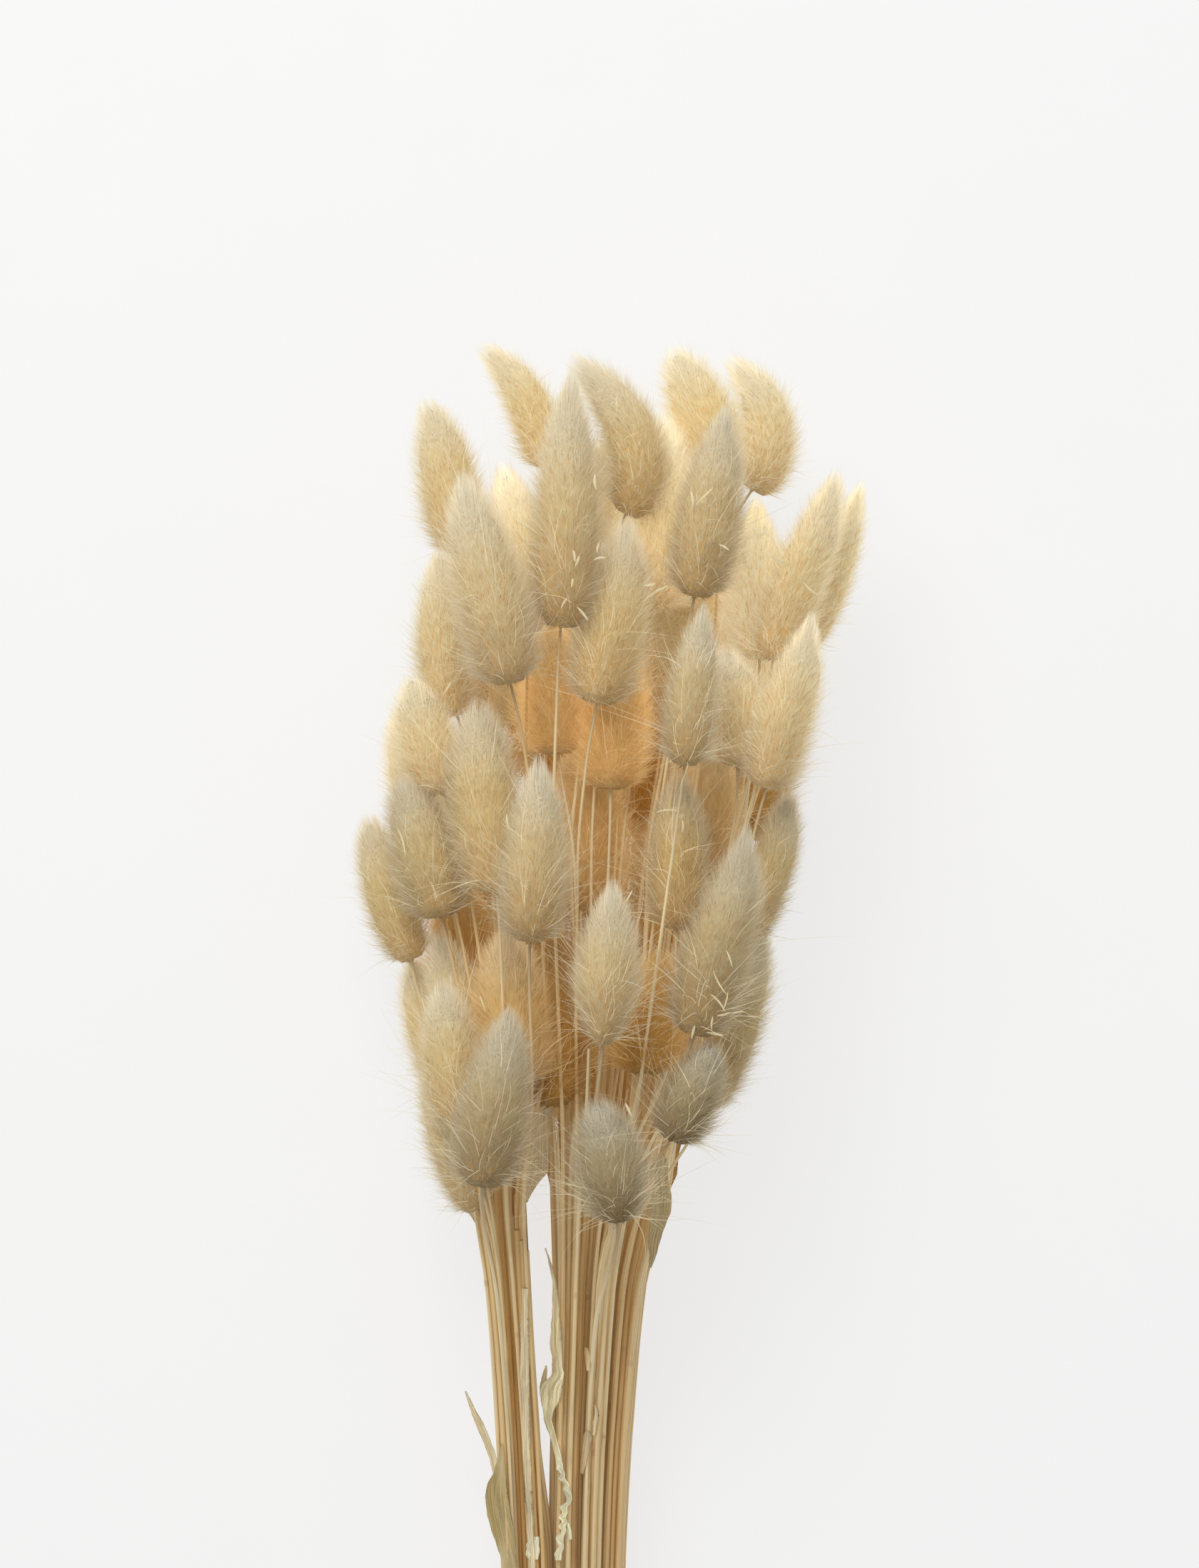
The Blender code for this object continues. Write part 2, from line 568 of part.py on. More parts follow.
def main():
    group, cutters = clear_scene()
    straw = material("straw_and_cream_hair", (0.68, 0.54, 0.31), 0.85)
    papery = material("dry_leaf", (0.52, 0.45, 0.28), 0.8)
    twine = material("jute_twine", (0.42, 0.29, 0.15), 0.9)
    shoots, reach, centre_z = plan_shoots()
    settle(shoots)
    draw = random.Random(7)
    items = [
        make_shoot(f"shoot_{i + 1:02d}", shoot, straw, group, draw)
        for i, shoot in enumerate(shoots)
    ]
    items += [
        make_leaf(*leaf, shoots, papery, group, draw)
        for leaf in LEAVES
    ]
    items.append(make_tie(reach, centre_z, twine, group, cutters))
    flatten_on_ground(items, cutters)
    centre_on_origin(items)


main()
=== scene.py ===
import math

import bpy
import numpy as np
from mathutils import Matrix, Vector


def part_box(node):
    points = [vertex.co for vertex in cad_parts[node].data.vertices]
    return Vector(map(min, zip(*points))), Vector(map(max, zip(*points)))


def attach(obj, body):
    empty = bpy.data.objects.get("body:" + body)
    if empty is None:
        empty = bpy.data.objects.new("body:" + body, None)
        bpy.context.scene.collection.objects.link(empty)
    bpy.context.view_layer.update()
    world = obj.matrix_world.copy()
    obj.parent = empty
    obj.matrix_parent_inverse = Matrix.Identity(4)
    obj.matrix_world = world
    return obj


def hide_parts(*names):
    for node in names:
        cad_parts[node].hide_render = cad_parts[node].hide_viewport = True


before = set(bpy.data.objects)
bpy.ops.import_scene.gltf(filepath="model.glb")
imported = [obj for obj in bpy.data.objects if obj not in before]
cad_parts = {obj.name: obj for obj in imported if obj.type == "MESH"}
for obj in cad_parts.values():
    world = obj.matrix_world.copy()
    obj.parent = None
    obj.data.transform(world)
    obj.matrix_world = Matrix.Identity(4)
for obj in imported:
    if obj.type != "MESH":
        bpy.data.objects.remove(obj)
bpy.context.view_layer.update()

# ---- Stems -----------------------------------------------------------------------------------
# Each shoot stands on a hollow grass stem, dried to straw. It is thickest at the cut foot, slims to
# a wiry neck under the flower head, and has one or two swollen joints along its length.
MM = 0.001
STEM_SIDES = 7
STEM_STEP = 6.0  # mm between the rings of a stem
FOOT_SHARE, NECK_SHARE = 0.74, 0.52  # the dry foot and neck against the solid's
NECK_LONG, UPPER_LONG = 34, 210  # mm of stem under the head with the neck's and the upper colours
FIRST_JOINT, SECOND_JOINT = (-215, -120), (-80, -15)  # mm along Y, where the joints may sit
SECOND_JOINT_SHARE = 0.45  # share of the stems that have a second joint there
JOINT_SWELL = 0.22  # how much a joint is thicker than its stem
JOINT_HALF = 1.3  # mm, half the length of a joint
JOINT_DARK = 0.55
GRAIN_SHIFT = 700  # mm between the grain of one straw and the next one's, so that none are alike
STRAW_FOOT = (0.72, 0.46, 0.18)
STRAW_MIDDLE = (0.85, 0.63, 0.32)
STRAW_NECK = (0.68, 0.51, 0.31)
STRAW_DARK = (0.42, 0.28, 0.15)
STRAW_PALE = (0.92, 0.80, 0.52)
STRAW_GLOW = 0.045  # the light that the heads around a stem throw on it
GLOW_FROM, GLOW_OVER = 10, 50  # mm along Y, from where that light grows, and over how far
GOLDEN_ANGLE = math.pi * (3 - math.sqrt(5))


class Wire:
    """A value in a material. Sums and products of wires add the nodes that work them out."""

    def __init__(self, tree, socket=None):
        self.tree, self.socket = tree, socket

    def node(self, kind, settings=None, sockets=None, out=0):
        """Adds a node with its settings, then its sockets' values or wires."""
        made = self.tree.nodes.new("ShaderNode" + kind)
        for key, value in (settings or {}).items():
            if key == "stops":
                ramp = made.color_ramp.elements
                while len(ramp) < len(value):
                    ramp.new(0.5)
                for stop, (place, colour) in zip(ramp, value):
                    stop.position, stop.color = place, (*colour, 1)
            else:
                setattr(made, key, value)
        for key, value in (sockets or {}).items():
            socket = made.inputs[key]
            if isinstance(value, Wire):
                self.tree.links.new(value.socket, socket)
            else:
                socket.default_value = (*value, 1) if socket.type == "RGBA" else value
        return Wire(self.tree, made.outputs[out])

    def feed(self, shader, socket):
        self.tree.links.new(self.socket, shader.inputs[socket])

    def read(self, name, out="Fac"):
        return self.node("Attribute", {"attribute_name": name}, out=out)

    def ramp(self, *stops):
        return self.node("ValToRGB", {"stops": stops}, {"Fac": self})

    def noise(self, place, scale, detail=2.0):
        return self.node("TexNoise", {}, {"Vector": place, "Scale": scale, "Detail": detail})

    def grain(self, scales, detail=2.0):
        """Noise in a piece's own measures: two across it and one along it."""
        place = {"Vector": self.read("local", "Vector"), "Scale": scales}
        return self.noise(self.node("Mapping", {}, place), 1.0, detail)

    def bump(self, shader, strength, distance):
        sockets = {"Height": self, "Strength": strength, "Distance": distance}
        self.node("Bump", {}, sockets).feed(shader, "Normal")

    def blend(self, first, second):
        """From the first colour to the second as this value goes from 0 to 1."""
        sockets = {0: self, 6: first, 7: second}
        return self.node("Mix", {"data_type": "RGBA", "clamp_factor": True}, sockets, out=2)

    def tint(self, colour, share):
        """The colour multiplied by this grey value, as far as share says."""
        sockets = {0: share, 6: colour, 7: self}
        return self.node("Mix", {"data_type": "RGBA", "blend_type": "MULTIPLY"}, sockets, out=2)

    def at_most(self, limit):
        return self._math("MINIMUM", self, limit)

    def _math(self, how, first, second):
        return self.node("Math", {"operation": how}, {0: first, 1: second})

    def __add__(self, other):
        return self._math("ADD", self, other)

    def __sub__(self, other):
        return self._math("SUBTRACT", self, other)

    def __rsub__(self, other):
        return self._math("SUBTRACT", other, self)

    def __mul__(self, other):
        return self._math("MULTIPLY", self, other)

    __radd__ = __add__
    __rmul__ = __mul__


def new_finish(name, fixed):
    """A new material, the wire to build it with, and its surface shader with its fixed values."""
    made = bpy.data.materials.new(name)
    made.use_nodes = True
    shader = made.node_tree.nodes["Principled BSDF"]
    for key, value in fixed.items():
        shader.inputs[key].default_value = value
    return made, Wire(made.node_tree), shader


def light_up(made, shader, colour, strength=1.0):
    """Light that passes on through a thin piece. It shows on the piece, but isn't a lamp."""
    colour.feed(shader, "Emission Color")
    shader.inputs["Emission Strength"].default_value = strength
    made.cycles.emission_sampling = "NONE"


def head_light(y):
    """The light that the heads throw on a straw, more of it nearer to them."""
    return STRAW_GLOW * np.clip((y - GLOW_FROM) / GLOW_OVER, 0.6, 1)


straw, wire, shader = new_finish("dry_straw", {"Specular IOR Level": 0.35})
fibres, blotches = wire.grain((2.6, 2.6, 0.05), 3.0), wire.grain((0.5, 0.5, 0.06))
upper = wire.read("along")
colour = upper.ramp((0.0, STRAW_FOOT), (0.55, STRAW_MIDDLE), (0.86, STRAW_MIDDLE), (1.0, STRAW_NECK))
colour = ((wire.read("tone") * 1.1 - 0.2) * (upper * 0.7 + 0.6)).blend(colour, STRAW_PALE)
colour = ((blotches - 0.56) * 2.0).blend(colour, STRAW_DARK)
colour = (fibres * 0.7 + 0.65).tint(colour, 0.8)
colour = wire.read("dark").blend(colour, STRAW_DARK)
colour.feed(shader, "Base Color")
(fibres * 0.3 + 0.42).feed(shader, "Roughness")
fibres.bump(shader, 0.5, 0.0002)
light_up(straw, shader, wire.read("glow").tint(colour, 1.0))


def cut_sections(node, levels):
    """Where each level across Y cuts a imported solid: the middle's x and z, and the mean radius."""
    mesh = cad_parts[node].data
    mesh.calc_loop_triangles()
    points = np.empty(len(mesh.vertices) * 3)
    mesh.vertices.foreach_get("co", points)
    corners = np.empty(len(mesh.loop_triangles) * 3, dtype=np.int32)
    mesh.loop_triangles.foreach_get("vertices", corners)
    corners = points.reshape(-1, 3)[corners.reshape(-1, 3)] / MM
    found = []
    for level in levels:
        above = corners[:, :, 1] > level
        crossed = corners[above.any(1) & ~above.all(1)]
        ends = np.zeros((len(crossed), 2, 2))
        for k in range(3):
            p, q = crossed[:, k], crossed[:, (k + 1) % 3]
            rise = np.where(q[:, 1] == p[:, 1], 1, q[:, 1] - p[:, 1])
            share = np.clip((level - p[:, 1]) / rise, 0, 1)
            hit = (p + (q - p) * share[:, None])[:, [0, 2]]
            rises = (p[:, 1] <= level) & (q[:, 1] > level)
            falls = (p[:, 1] > level) & (q[:, 1] <= level)
            ends[rises, 0], ends[falls, 1] = hit[rises], hit[falls]
        twice = ends[:, 0, 0] * ends[:, 1, 1] - ends[:, 1, 0] * ends[:, 0, 1]
        area = twice.sum() / 2
        if abs(area) > 1e-6:
            middle = ((ends[:, 0] + ends[:, 1]) * twice[:, None]).sum(0) / (6 * area)
            found.append((middle[0], level, middle[1], math.sqrt(abs(area) / math.pi)))
    return np.array(found)


def smoothed(values, rounds):
    """The rows with their kinks taken out, the two ends held."""
    for _ in range(rounds):
        values = values.copy()
        values[1:-1] = 0.25 * values[:-2] + 0.5 * values[1:-1] + 0.25 * values[2:]
    return values


def unit(vectors, least=0.0):
    """The vectors made one long. Least keeps one of no length from a division by nothing."""
    return vectors / (np.linalg.norm(vectors, axis=-1, keepdims=True) + least)


def between(at, stations, table):
    """The points of a table, read at places between its stations."""
    return np.column_stack([np.interp(at, stations, table[:, k]) for k in range(3)])


def across(line):
    """The direction along a line at each point, and two directions square to it that don't twist."""
    ahead = unit(np.gradient(line, axis=0))
    side = np.empty_like(ahead)
    side[0] = np.cross(ahead[0], (0, 0, 1))
    for i in range(len(line)):
        if i:
            side[i] = side[i - 1]
        side[i] -= ahead[i] * side[i].dot(ahead[i])
        side[i] /= np.linalg.norm(side[i])
    return ahead, side, np.cross(ahead, side)


def tube(line, radius, sides, local_along, **marks):
    """Rings of points round a line, closed at both ends, with what the finishes read from them."""
    ahead, side, up = across(line)
    angle = np.arange(sides) * 2 * math.pi / sides
    cos, sin = np.cos(angle), np.sin(angle)
    outward = side[:, None] * cos[None, :, None] + up[:, None] * sin[None, :, None]
    points = (line[:, None] + outward * radius[:, None, None]).reshape(-1, 3)
    points = np.vstack([points, line[0], line[-1]])
    normals = np.vstack([outward.reshape(-1, 3), -ahead[0], ahead[-1]])
    rings, first = len(line), len(points) - 2
    a = (np.arange(rings - 1)[:, None] * sides + np.arange(sides)).ravel()
    b = (np.arange(rings - 1)[:, None] * sides + (np.arange(sides) + 1) % sides).ravel()
    faces = np.vstack([np.column_stack([a, b, b + sides]), np.column_stack([a, b + sides, a + sides])])
    low, high = np.arange(sides), (rings - 1) * sides + np.arange(sides)
    faces = np.vstack([
        faces,
        np.column_stack([np.full(sides, first), np.roll(low, -1), low]),
        np.column_stack([np.full(sides, first + 1), high, np.roll(high, -1)]),
    ])
    spread = lambda v: np.append(np.repeat(v, sides), (v[0], v[-1]))
    flat = np.column_stack([
        spread(radius) * np.append(np.tile(cos, rings), (0, 0)),
        spread(radius) * np.append(np.tile(sin, rings), (0, 0)),
        spread(local_along),
    ])
    part = {"points": points, "normals": normals, "faces": faces, "local": flat}
    part.update({key: spread(np.broadcast_to(value, rings)) for key, value in marks.items()})
    return part


def make_stem(sections, radius, tone, neck_dark, draw, number):
    """The straw tube from the cut foot to a little way inside the head, with its joints."""
    foot, top = sections[0, 1], sections[-1, 1]
    levels = np.arange(foot, top, STEM_STEP)
    joints = [draw.uniform(*FIRST_JOINT)]
    if draw.random() < SECOND_JOINT_SHARE:
        joints.append(draw.uniform(*SECOND_JOINT))
    for joint in joints:
        levels = np.append(levels, joint + JOINT_HALF * np.array([-2, -1, -0.4, 0.4, 1, 2]))
    levels = np.unique(np.append(levels[levels < top - 1], top))
    line = between(levels, sections[:, 1], sections)
    share = (levels - foot) / (top - foot)
    radius = np.interp(levels, sections[:, 1], radius)
    radius = radius * (FOOT_SHARE + (NECK_SHARE - FOOT_SHARE) * share**2.5)
    dark = np.zeros(len(levels))
    for joint in joints:
        off = (levels - joint) / JOINT_HALF
        radius = radius * (1 + JOINT_SWELL * np.exp(-(off**2)))
        dark = np.maximum(dark, JOINT_DARK * np.exp(-((2 * off) ** 2)))
    to_head = top - levels
    neck = np.clip(1 - to_head / NECK_LONG, 0, 1)
    # Painted shade on the neck under the head, and a painted glow from the heads on the rest
    return tube(
        line, radius, STEM_SIDES, levels + GRAIN_SHIFT * number,
        along=1 - np.clip(to_head / UPPER_LONG, 0, 1), tone=tone,
        dark=np.maximum(dark, neck_dark * neck), glow=head_light(levels) * (1 - neck),
    )


# ---- Flower heads ----------------------------------------------------------------------------
# A head is a dense brush: a slim spike of small flowers, wrapped in thousands of soft hairs that
# lean outwards and upwards and close to a point. Long thin awns stand out of its lower part.
OUTLINE_AT = (0.0, 0.02, 0.05, 0.10, 0.16, 0.29, 0.42, 0.55, 0.68, 0.80, 0.91, 0.97, 1.02, 1.06)
POINTED = (0.50, 0.80, 0.99, 1.11, 1.19, 1.27, 1.23, 1.14, 1.00, 0.80, 0.53, 0.34, 0.17, 0.03)
BLUNT = (0.50, 0.80, 0.99, 1.11, 1.19, 1.27, 1.28, 1.24, 1.16, 1.04, 0.87, 0.72, 0.53, 0.32)
LEAN_AT = (0.0, 0.04, 0.10, 0.22, 0.45, 0.75, 0.92, 1.0)
LEAN = (112, 92, 74, 59, 47, 37, 25, 10)  # degrees between a hair and the head's middle line
SOLID_HAIR = 0.93 * 0.985  # the solid's tufts against the full width of the hair
WOOL_SHARE = 0.64  # the close wool under the hairs, against the full width
WOOL_SIDES = 14
WOOL_END, WOOL_ROUND = 0.955, 0.22  # where on a head the wool ends, and how long its round tip is
HAIR_LENGTH = 7.6  # mm
HAIR_WIDTH = 0.155  # mm
STRAIGHT_HAIRS, BENT_HAIRS, AWNS = 10400, 1100, 155
HIDDEN_HAIRS = 0.48  # share of the hairs on a head that lies under the bunch
USUAL_HALF = 8.5  # mm, half the width of a usual head, for which the lengths are
USUAL_AREA = 440.0  # mm2, length times half width of a usual head, for which the counts are
MEAN_REACH = 0.8  # a head's mean width against its widest
CLUMP = 6  # hairs that cling together
CLING = (0.15, 0.65)  # how far the hairs of a clump draw together
ROW_TURN = 0.618  # turns from one row of clumps to the next, so that they don't line up
CLOSING = (0.90, 0.12)  # from where on a head, and over how much, its hairs fill the whole width
BRACTS = 46  # in the ring under a head
# A head's hair from its base to its tip: on the near side, at the edges, and deep in the bunch.
# The gold at the edges is partly painted light, and the deep gold in the bunch painted warm shade
HAIR_AT = (0.0, 0.10, 0.42, 0.55, 1.0)
PALE_HAIR = (
    (0.41, 0.32, 0.21), (0.63, 0.49, 0.29), (0.88, 0.77, 0.50), (0.88, 0.77, 0.50), (0.95, 0.95, 0.86),
)
GOLD_HAIR = (
    (0.88, 0.68, 0.40), (0.92, 0.73, 0.43), (0.92, 0.78, 0.44), (0.92, 0.78, 0.44), (0.97, 0.94, 0.81),
)
DEEP_HAIR = (
    (0.72, 0.38, 0.08), (0.80, 0.45, 0.10), (0.90, 0.55, 0.15), (0.90, 0.55, 0.15), (0.96, 0.74, 0.36),
)
RIM_CREAM = (1.0, 0.94, 0.78)  # painted rim light at a head's sides, from the pale table behind
RIM_GOLD = (0.97, 0.74, 0.38)  # painted rim light deep in the bunch, with other heads behind it
# The colours of a head's painted light and of its painted shade
PAINTED_LIT, PAINTED_SHADE = (1.0, 0.95, 0.72), (0.18, 0.145, 0.095)
ROOT_BROWN = (0.80, 0.52, 0.20)
BRACT_BROWN = (0.20, 0.13, 0.07)
HAIR_GLOW_LIMIT = 0.60  # the most light that comes through a hair


def hair_colour(wire):
    """Brown at the head's base to cream at its tip, in its warmth, partly its own tone and partly
    painted light and shade. Over 0, a head's painted light pales it; under 0, painted shade
    darkens it, most at its base."""
    height, warmth, bleach = (wire.read(mark) for mark in ("height", "warmth", "bleach"))
    pale, gold, deep = (
        height.ramp(*zip(HAIR_AT, tones)) for tones in (PALE_HAIR, GOLD_HAIR, DEEP_HAIR)
    )
    colour = (warmth - 1).blend(warmth.blend(pale, gold), deep)
    colour = (bleach * 0.6).blend(colour, PAINTED_LIT)
    return (bleach * (height - 1.15)).blend(colour, PAINTED_SHADE)


def browned(wire, share):
    """How brown a head is at a place: less so towards its tip, and under painted shade."""
    return share * (1.2 - wire.read("height")) * (wire.read("bleach") + 1).at_most(1.0)


def let_through(wire, shader, share, inside):
    """Gives a share of a thin piece's surface to light that comes from behind it."""
    through = wire.node("BsdfTranslucent", {}, {"Color": inside})
    surface = Wire(wire.tree, shader.outputs[0])
    mixed = wire.node("MixShader", {}, {"Fac": share, 1: surface, 2: through})
    mixed.feed(wire.tree.nodes["Material Output"], "Surface")


def hair_finish(name, bloom, rim, inside):
    """Hair that light passes through, with the bloom that its finest ends give a head."""
    made, wire, shader = new_finish(name, {
        "Specular IOR Level": 0.25, "Sheen Weight": bloom, "Sheen Roughness": 0.45,
        "Sheen Tint": (1.0, 0.94, 0.78, 1),
    })
    along, tone, side, height = (wire.read(mark) for mark in ("along", "tone", "side", "height"))
    # Painted rim light: the hairs' ends are paler at a head's sides
    colour = (side * along * 0.60).blend(hair_colour(wire), rim)
    colour = browned(wire, 0.60 - along * 1.15).blend(colour, ROOT_BROWN)
    colour = wire.read("dark").blend(colour, BRACT_BROWN)
    (tone * 0.18 + 0.78).tint(colour, 1.0).feed(shader, "Base Color")
    (tone * 0.2 + 0.45).feed(shader, "Roughness")
    # Painted glow, most at the hairs' ends, high on a head and at its sides
    glow = (along * 0.8 + 0.25) * (height * 0.5 + 0.8) * (side * 1.5 + 0.72) * wire.read("glow")
    light_up(made, shader, glow.at_most(HAIR_GLOW_LIMIT).tint(colour, 1.0))
    let_through(wire, shader, 0.36, inside)
    return made


hair = hair_finish("soft_hair", 0.9, RIM_CREAM, (0.96, 0.81, 0.52))
# A shaded copy of the hair for heads deep in the bunch, as painted shade: less sheen, a gold rim
deep_shaded_hair = hair_finish("deep_shaded_hair", 0.25, RIM_GOLD, (0.88, 0.60, 0.26))

wool, wire, shader = new_finish("close_wool", {"Specular IOR Level": 0.1})
streaks = wire.grain((2.2, 2.2, 0.34), 4.0)
colour = browned(wire, (0.5 - streaks) * 4.5 + 0.55).blend(hair_colour(wire), ROOT_BROWN)
colour.feed(shader, "Base Color")
(streaks * 0.2 + 0.6).feed(shader, "Roughness")
streaks.bump(shader, 1.0, 0.0012)
# Painted glow, a quarter of the hair's
light_up(wool, shader, (wire.read("glow") * 0.25).tint(colour, 1.0))


class Head:
    """The middle line and full width of one head, and places in and on it."""

    def __init__(self, line, half, warmth, blunt, number, base=1.0):
        self.line, self.half, self.warmth, self.blunt, self.number = line, half, warmth, blunt, number
        self.scale = (half / USUAL_HALF) ** 0.5
        self.length = np.linalg.norm(np.diff(line, axis=0), axis=1).sum()
        self.ahead, self.side, self.up = across(line)
        self.stations = np.linspace(0, 1, len(line))
        self.fine = np.linspace(-0.01, 1.05, 220)
        shape = np.array(POINTED) * (1 - blunt) + np.array(BLUNT) * blunt
        outline = smoothed(np.interp(self.fine, OUTLINE_AT, shape)[:, None], 12)[:, 0]
        self.outline = outline * np.interp(self.fine, (0.0, 0.42), (base, 1.0))

    def reach(self, t):
        return self.half * np.interp(t, self.fine, self.outline)

    def at(self, table, t):
        return between(t, self.stations, table)

    def outward(self, t, angle):
        side, up = self.at(self.side, t), self.at(self.up, t)
        return unit(side * np.cos(angle)[:, None] + up * np.sin(angle)[:, None])

    def place(self, t, radius, angle):
        beyond = np.clip(t - 1, 0, None) + np.clip(t, None, 0)
        middle = self.at(self.line, t) + self.at(self.ahead, t) * (beyond * self.length)[:, None]
        return middle + self.outward(t, angle) * radius[:, None]


def make_wool(head, draw):
    """The close wool that fills the head under its hairs, a little uneven."""
    t = np.concatenate([[0.004, 0.02, 0.05], np.linspace(0.1, 0.80, 13), [0.85, 0.89, 0.925, 0.95]])
    line = head.at(head.line, t)
    radius = WOOL_SHARE * np.sqrt(np.clip((WOOL_END - t) / WOOL_ROUND, 0, 1)) * head.reach(t)
    part = tube(line, radius, WOOL_SIDES, t * head.length + 90 * head.number, height=t)
    lumps = draw.uniform(0.90, 1.08, len(part["points"]))
    middle = np.vstack([np.repeat(line, WOOL_SIDES, axis=0), line[0], line[-1]])
    part["points"] = middle + (part["points"] - middle) * lumps[:, None]
    return part


def blades(points, width, sideways, normals, along=(0, 1), **marks):
    """Thin blades through rows of points that end in a tip, each turned a little its own way. A
    mark is one value for all of them, or one for each blade."""
    count, steps = points.shape[:2]
    ahead = unit(points[:, -1] - points[:, 0])
    flat = unit(np.cross(ahead, normals), 1e-9)
    edge = flat * np.cos(sideways)[:, None] + np.cross(flat, ahead) * np.sin(sideways)[:, None]
    facing = np.cross(edge, ahead)
    facing *= np.sign((facing * normals).sum(1))[:, None]
    taper = np.linspace(1, 0, steps) ** 0.8
    made, tags = [], []
    for i in range(steps):
        for sign in (-1, 1) if i < steps - 1 else (0,):
            made.append(points[:, i] + edge * (sign * 0.5 * taper[i] * width)[:, None])
            tags.append(i / (steps - 1))
    per = len(made)
    faces = []
    for a in range(0, 2 * steps - 4, 2):
        faces += [[a, a + 1, a + 3], [a, a + 3, a + 2]]
    faces.append([per - 3, per - 2, per - 1])
    faces = (np.arange(count)[:, None, None] * per + np.array(faces)).reshape(-1, 3)
    points = np.stack(made, axis=1).reshape(-1, 3)
    normals = np.repeat(unit(normals + 0.2 * facing), per, axis=0)
    a, b, c = (points[faces[:, k]] for k in range(3))
    turned = (np.cross(b - a, c - a) * normals[faces[:, 0]]).sum(1) < 0
    faces[turned] = faces[turned][:, ::-1]
    part = {key: np.repeat(value, per) if np.ndim(value) else value for key, value in marks.items()}
    part["along"] = along[0] + along[1] * np.tile(tags, count)
    return {"points": points, "normals": normals, "faces": faces, **part}


def clumped(head, t, angle, draw):
    """Draws hairs together, a few to a clump. The clumps lie in rows along the head, and each row
    is cut into cells round it, with soft borders."""
    count = len(t)
    size = math.sqrt(CLUMP * 2 * math.pi * MEAN_REACH * head.half * head.length / STRAIGHT_HAIRS)
    rows = int(1.2 * head.length / size) + 2
    row = (t + 0.05) * head.length / size + draw.normal(0, 0.25, count)
    row = np.clip(row, 0, rows - 1).astype(int)
    row_t = (np.arange(rows) + 0.5) * size / head.length - 0.05
    cells = np.maximum(3, np.round(2 * math.pi * MEAN_REACH * head.reach(row_t) / size)).astype(int)
    around = angle / (2 * math.pi) + row * ROW_TURN + draw.normal(0, 0.2, count) / cells[row]
    cell = np.minimum((around % 1 * cells[row]).astype(int), cells[row] - 1)
    clump, clumps = row * cells.max() + cell, rows * cells.max()
    lead_t = row_t[row] + (draw.uniform(-0.4, 0.4, clumps) * size / head.length)[clump]
    lead = (cell + 0.5 + draw.uniform(-0.4, 0.4, clumps)[clump]) / cells[row] - row * ROW_TURN
    cling = draw.uniform(*CLING, clumps)[clump]
    turn = np.angle(np.exp(1j * (lead * 2 * math.pi - angle)))
    return t + cling * (lead_t - t), angle + cling * turn, clump, clumps


def make_hairs(head, count, flyaway, draw):
    """Soft hairs all round the head, in small clumps. The flyaway ones are longer, finer and bent,
    and stand out of the rest."""
    count = int(count * (head.length * head.half / USUAL_AREA) ** 0.8)
    share = (np.arange(count) + draw.uniform(0.2, 0.8, count)) / count
    spread = np.cumsum(head.reach(head.fine) + 0.05 * head.half)
    t = np.interp(share, spread / spread[-1], head.fine)
    angle = (np.arange(count) * GOLDEN_ANGLE + draw.normal(0, 0.05, count)) % (2 * math.pi)
    t, angle, clump, clumps = clumped(head, t, angle, draw)
    t = t + head.blunt * draw.normal(0, 0.012, clumps)[clump] + draw.normal(0, 0.008, count)
    if flyaway:
        proud = draw.uniform(1.0, 1.30, count)
    else:
        proud = 1.0 - 0.34 * draw.random(count) ** 1.6
        proud = proud + np.clip(draw.normal(0, 0.05, count), -0.1, 0.12)
    proud = proud + draw.normal(0, 0.045, clumps)[clump]
    closed = np.clip((t - CLOSING[0]) / CLOSING[1], 0, 1)
    reach = head.reach(t) * proud * (1 - closed * (1 - np.sqrt(draw.random(count))))
    lean = np.interp(t, LEAN_AT, LEAN) + head.blunt * np.interp(t, (0.6, 1.0), (0, 16))
    lean = np.radians(lean + draw.normal(0, 9, count) + draw.normal(0, 4, clumps)[clump])
    length = HAIR_LENGTH * head.scale * draw.uniform(0.7, 1.2, count) * (1.25 if flyaway else 1.0)
    length *= np.interp(t, (0, 0.14), (0.55, 1))
    root_t = t - length * np.cos(lean) / head.length
    root_t = np.clip(root_t, 0.015 + 0.05 * draw.random(count), 1)
    inside = WOOL_SHARE * head.reach(root_t)
    root = np.minimum(np.maximum(reach - length * np.sin(lean), 0.55 * inside), 0.92 * inside)
    tips = head.place(t, reach, angle)
    roots = head.place(root_t, root, angle + draw.normal(0, 0.12, count))
    outward = head.outward(t, angle)
    if flyaway:
        tips = tips + draw.normal(0, 0.5, (count, 3))
        bow = outward * (draw.uniform(0.02, 0.12, count) * length)[:, None]
        points = np.stack([roots, 0.5 * (tips + roots) + bow, tips], axis=1)
    else:
        points = np.stack([roots, tips], axis=1)
    normals = outward + head.at(head.ahead, t) * (0.25 + 0.3 * closed)[:, None]
    width = HAIR_WIDTH * draw.uniform(0.7, 1.25, count) * (0.75 if flyaway else 1.0)
    sideways = draw.uniform(-1.25, 1.25, count)
    tone = np.clip(draw.random(clumps)[clump] * 0.3 + draw.random(count) * 0.7, 0, 1)
    # The side mark sets a hair's painted rim light, most where it points sideways
    return blades(
        points, width, sideways, normals, height=np.clip(t / 1.06, 0, 1),
        tone=np.maximum(tone, 0.6 * flyaway), side=1 - outward[:, 2] ** 2,
    )


def head_ways(head, t, angle, lean):
    """Outwards and ahead at places on a head, and the way between them that leans by so much."""
    out, ahead, lean = head.outward(t, angle), head.at(head.ahead, t), np.radians(lean)
    return out, ahead, ahead * np.cos(lean)[:, None] + out * np.sin(lean)[:, None]


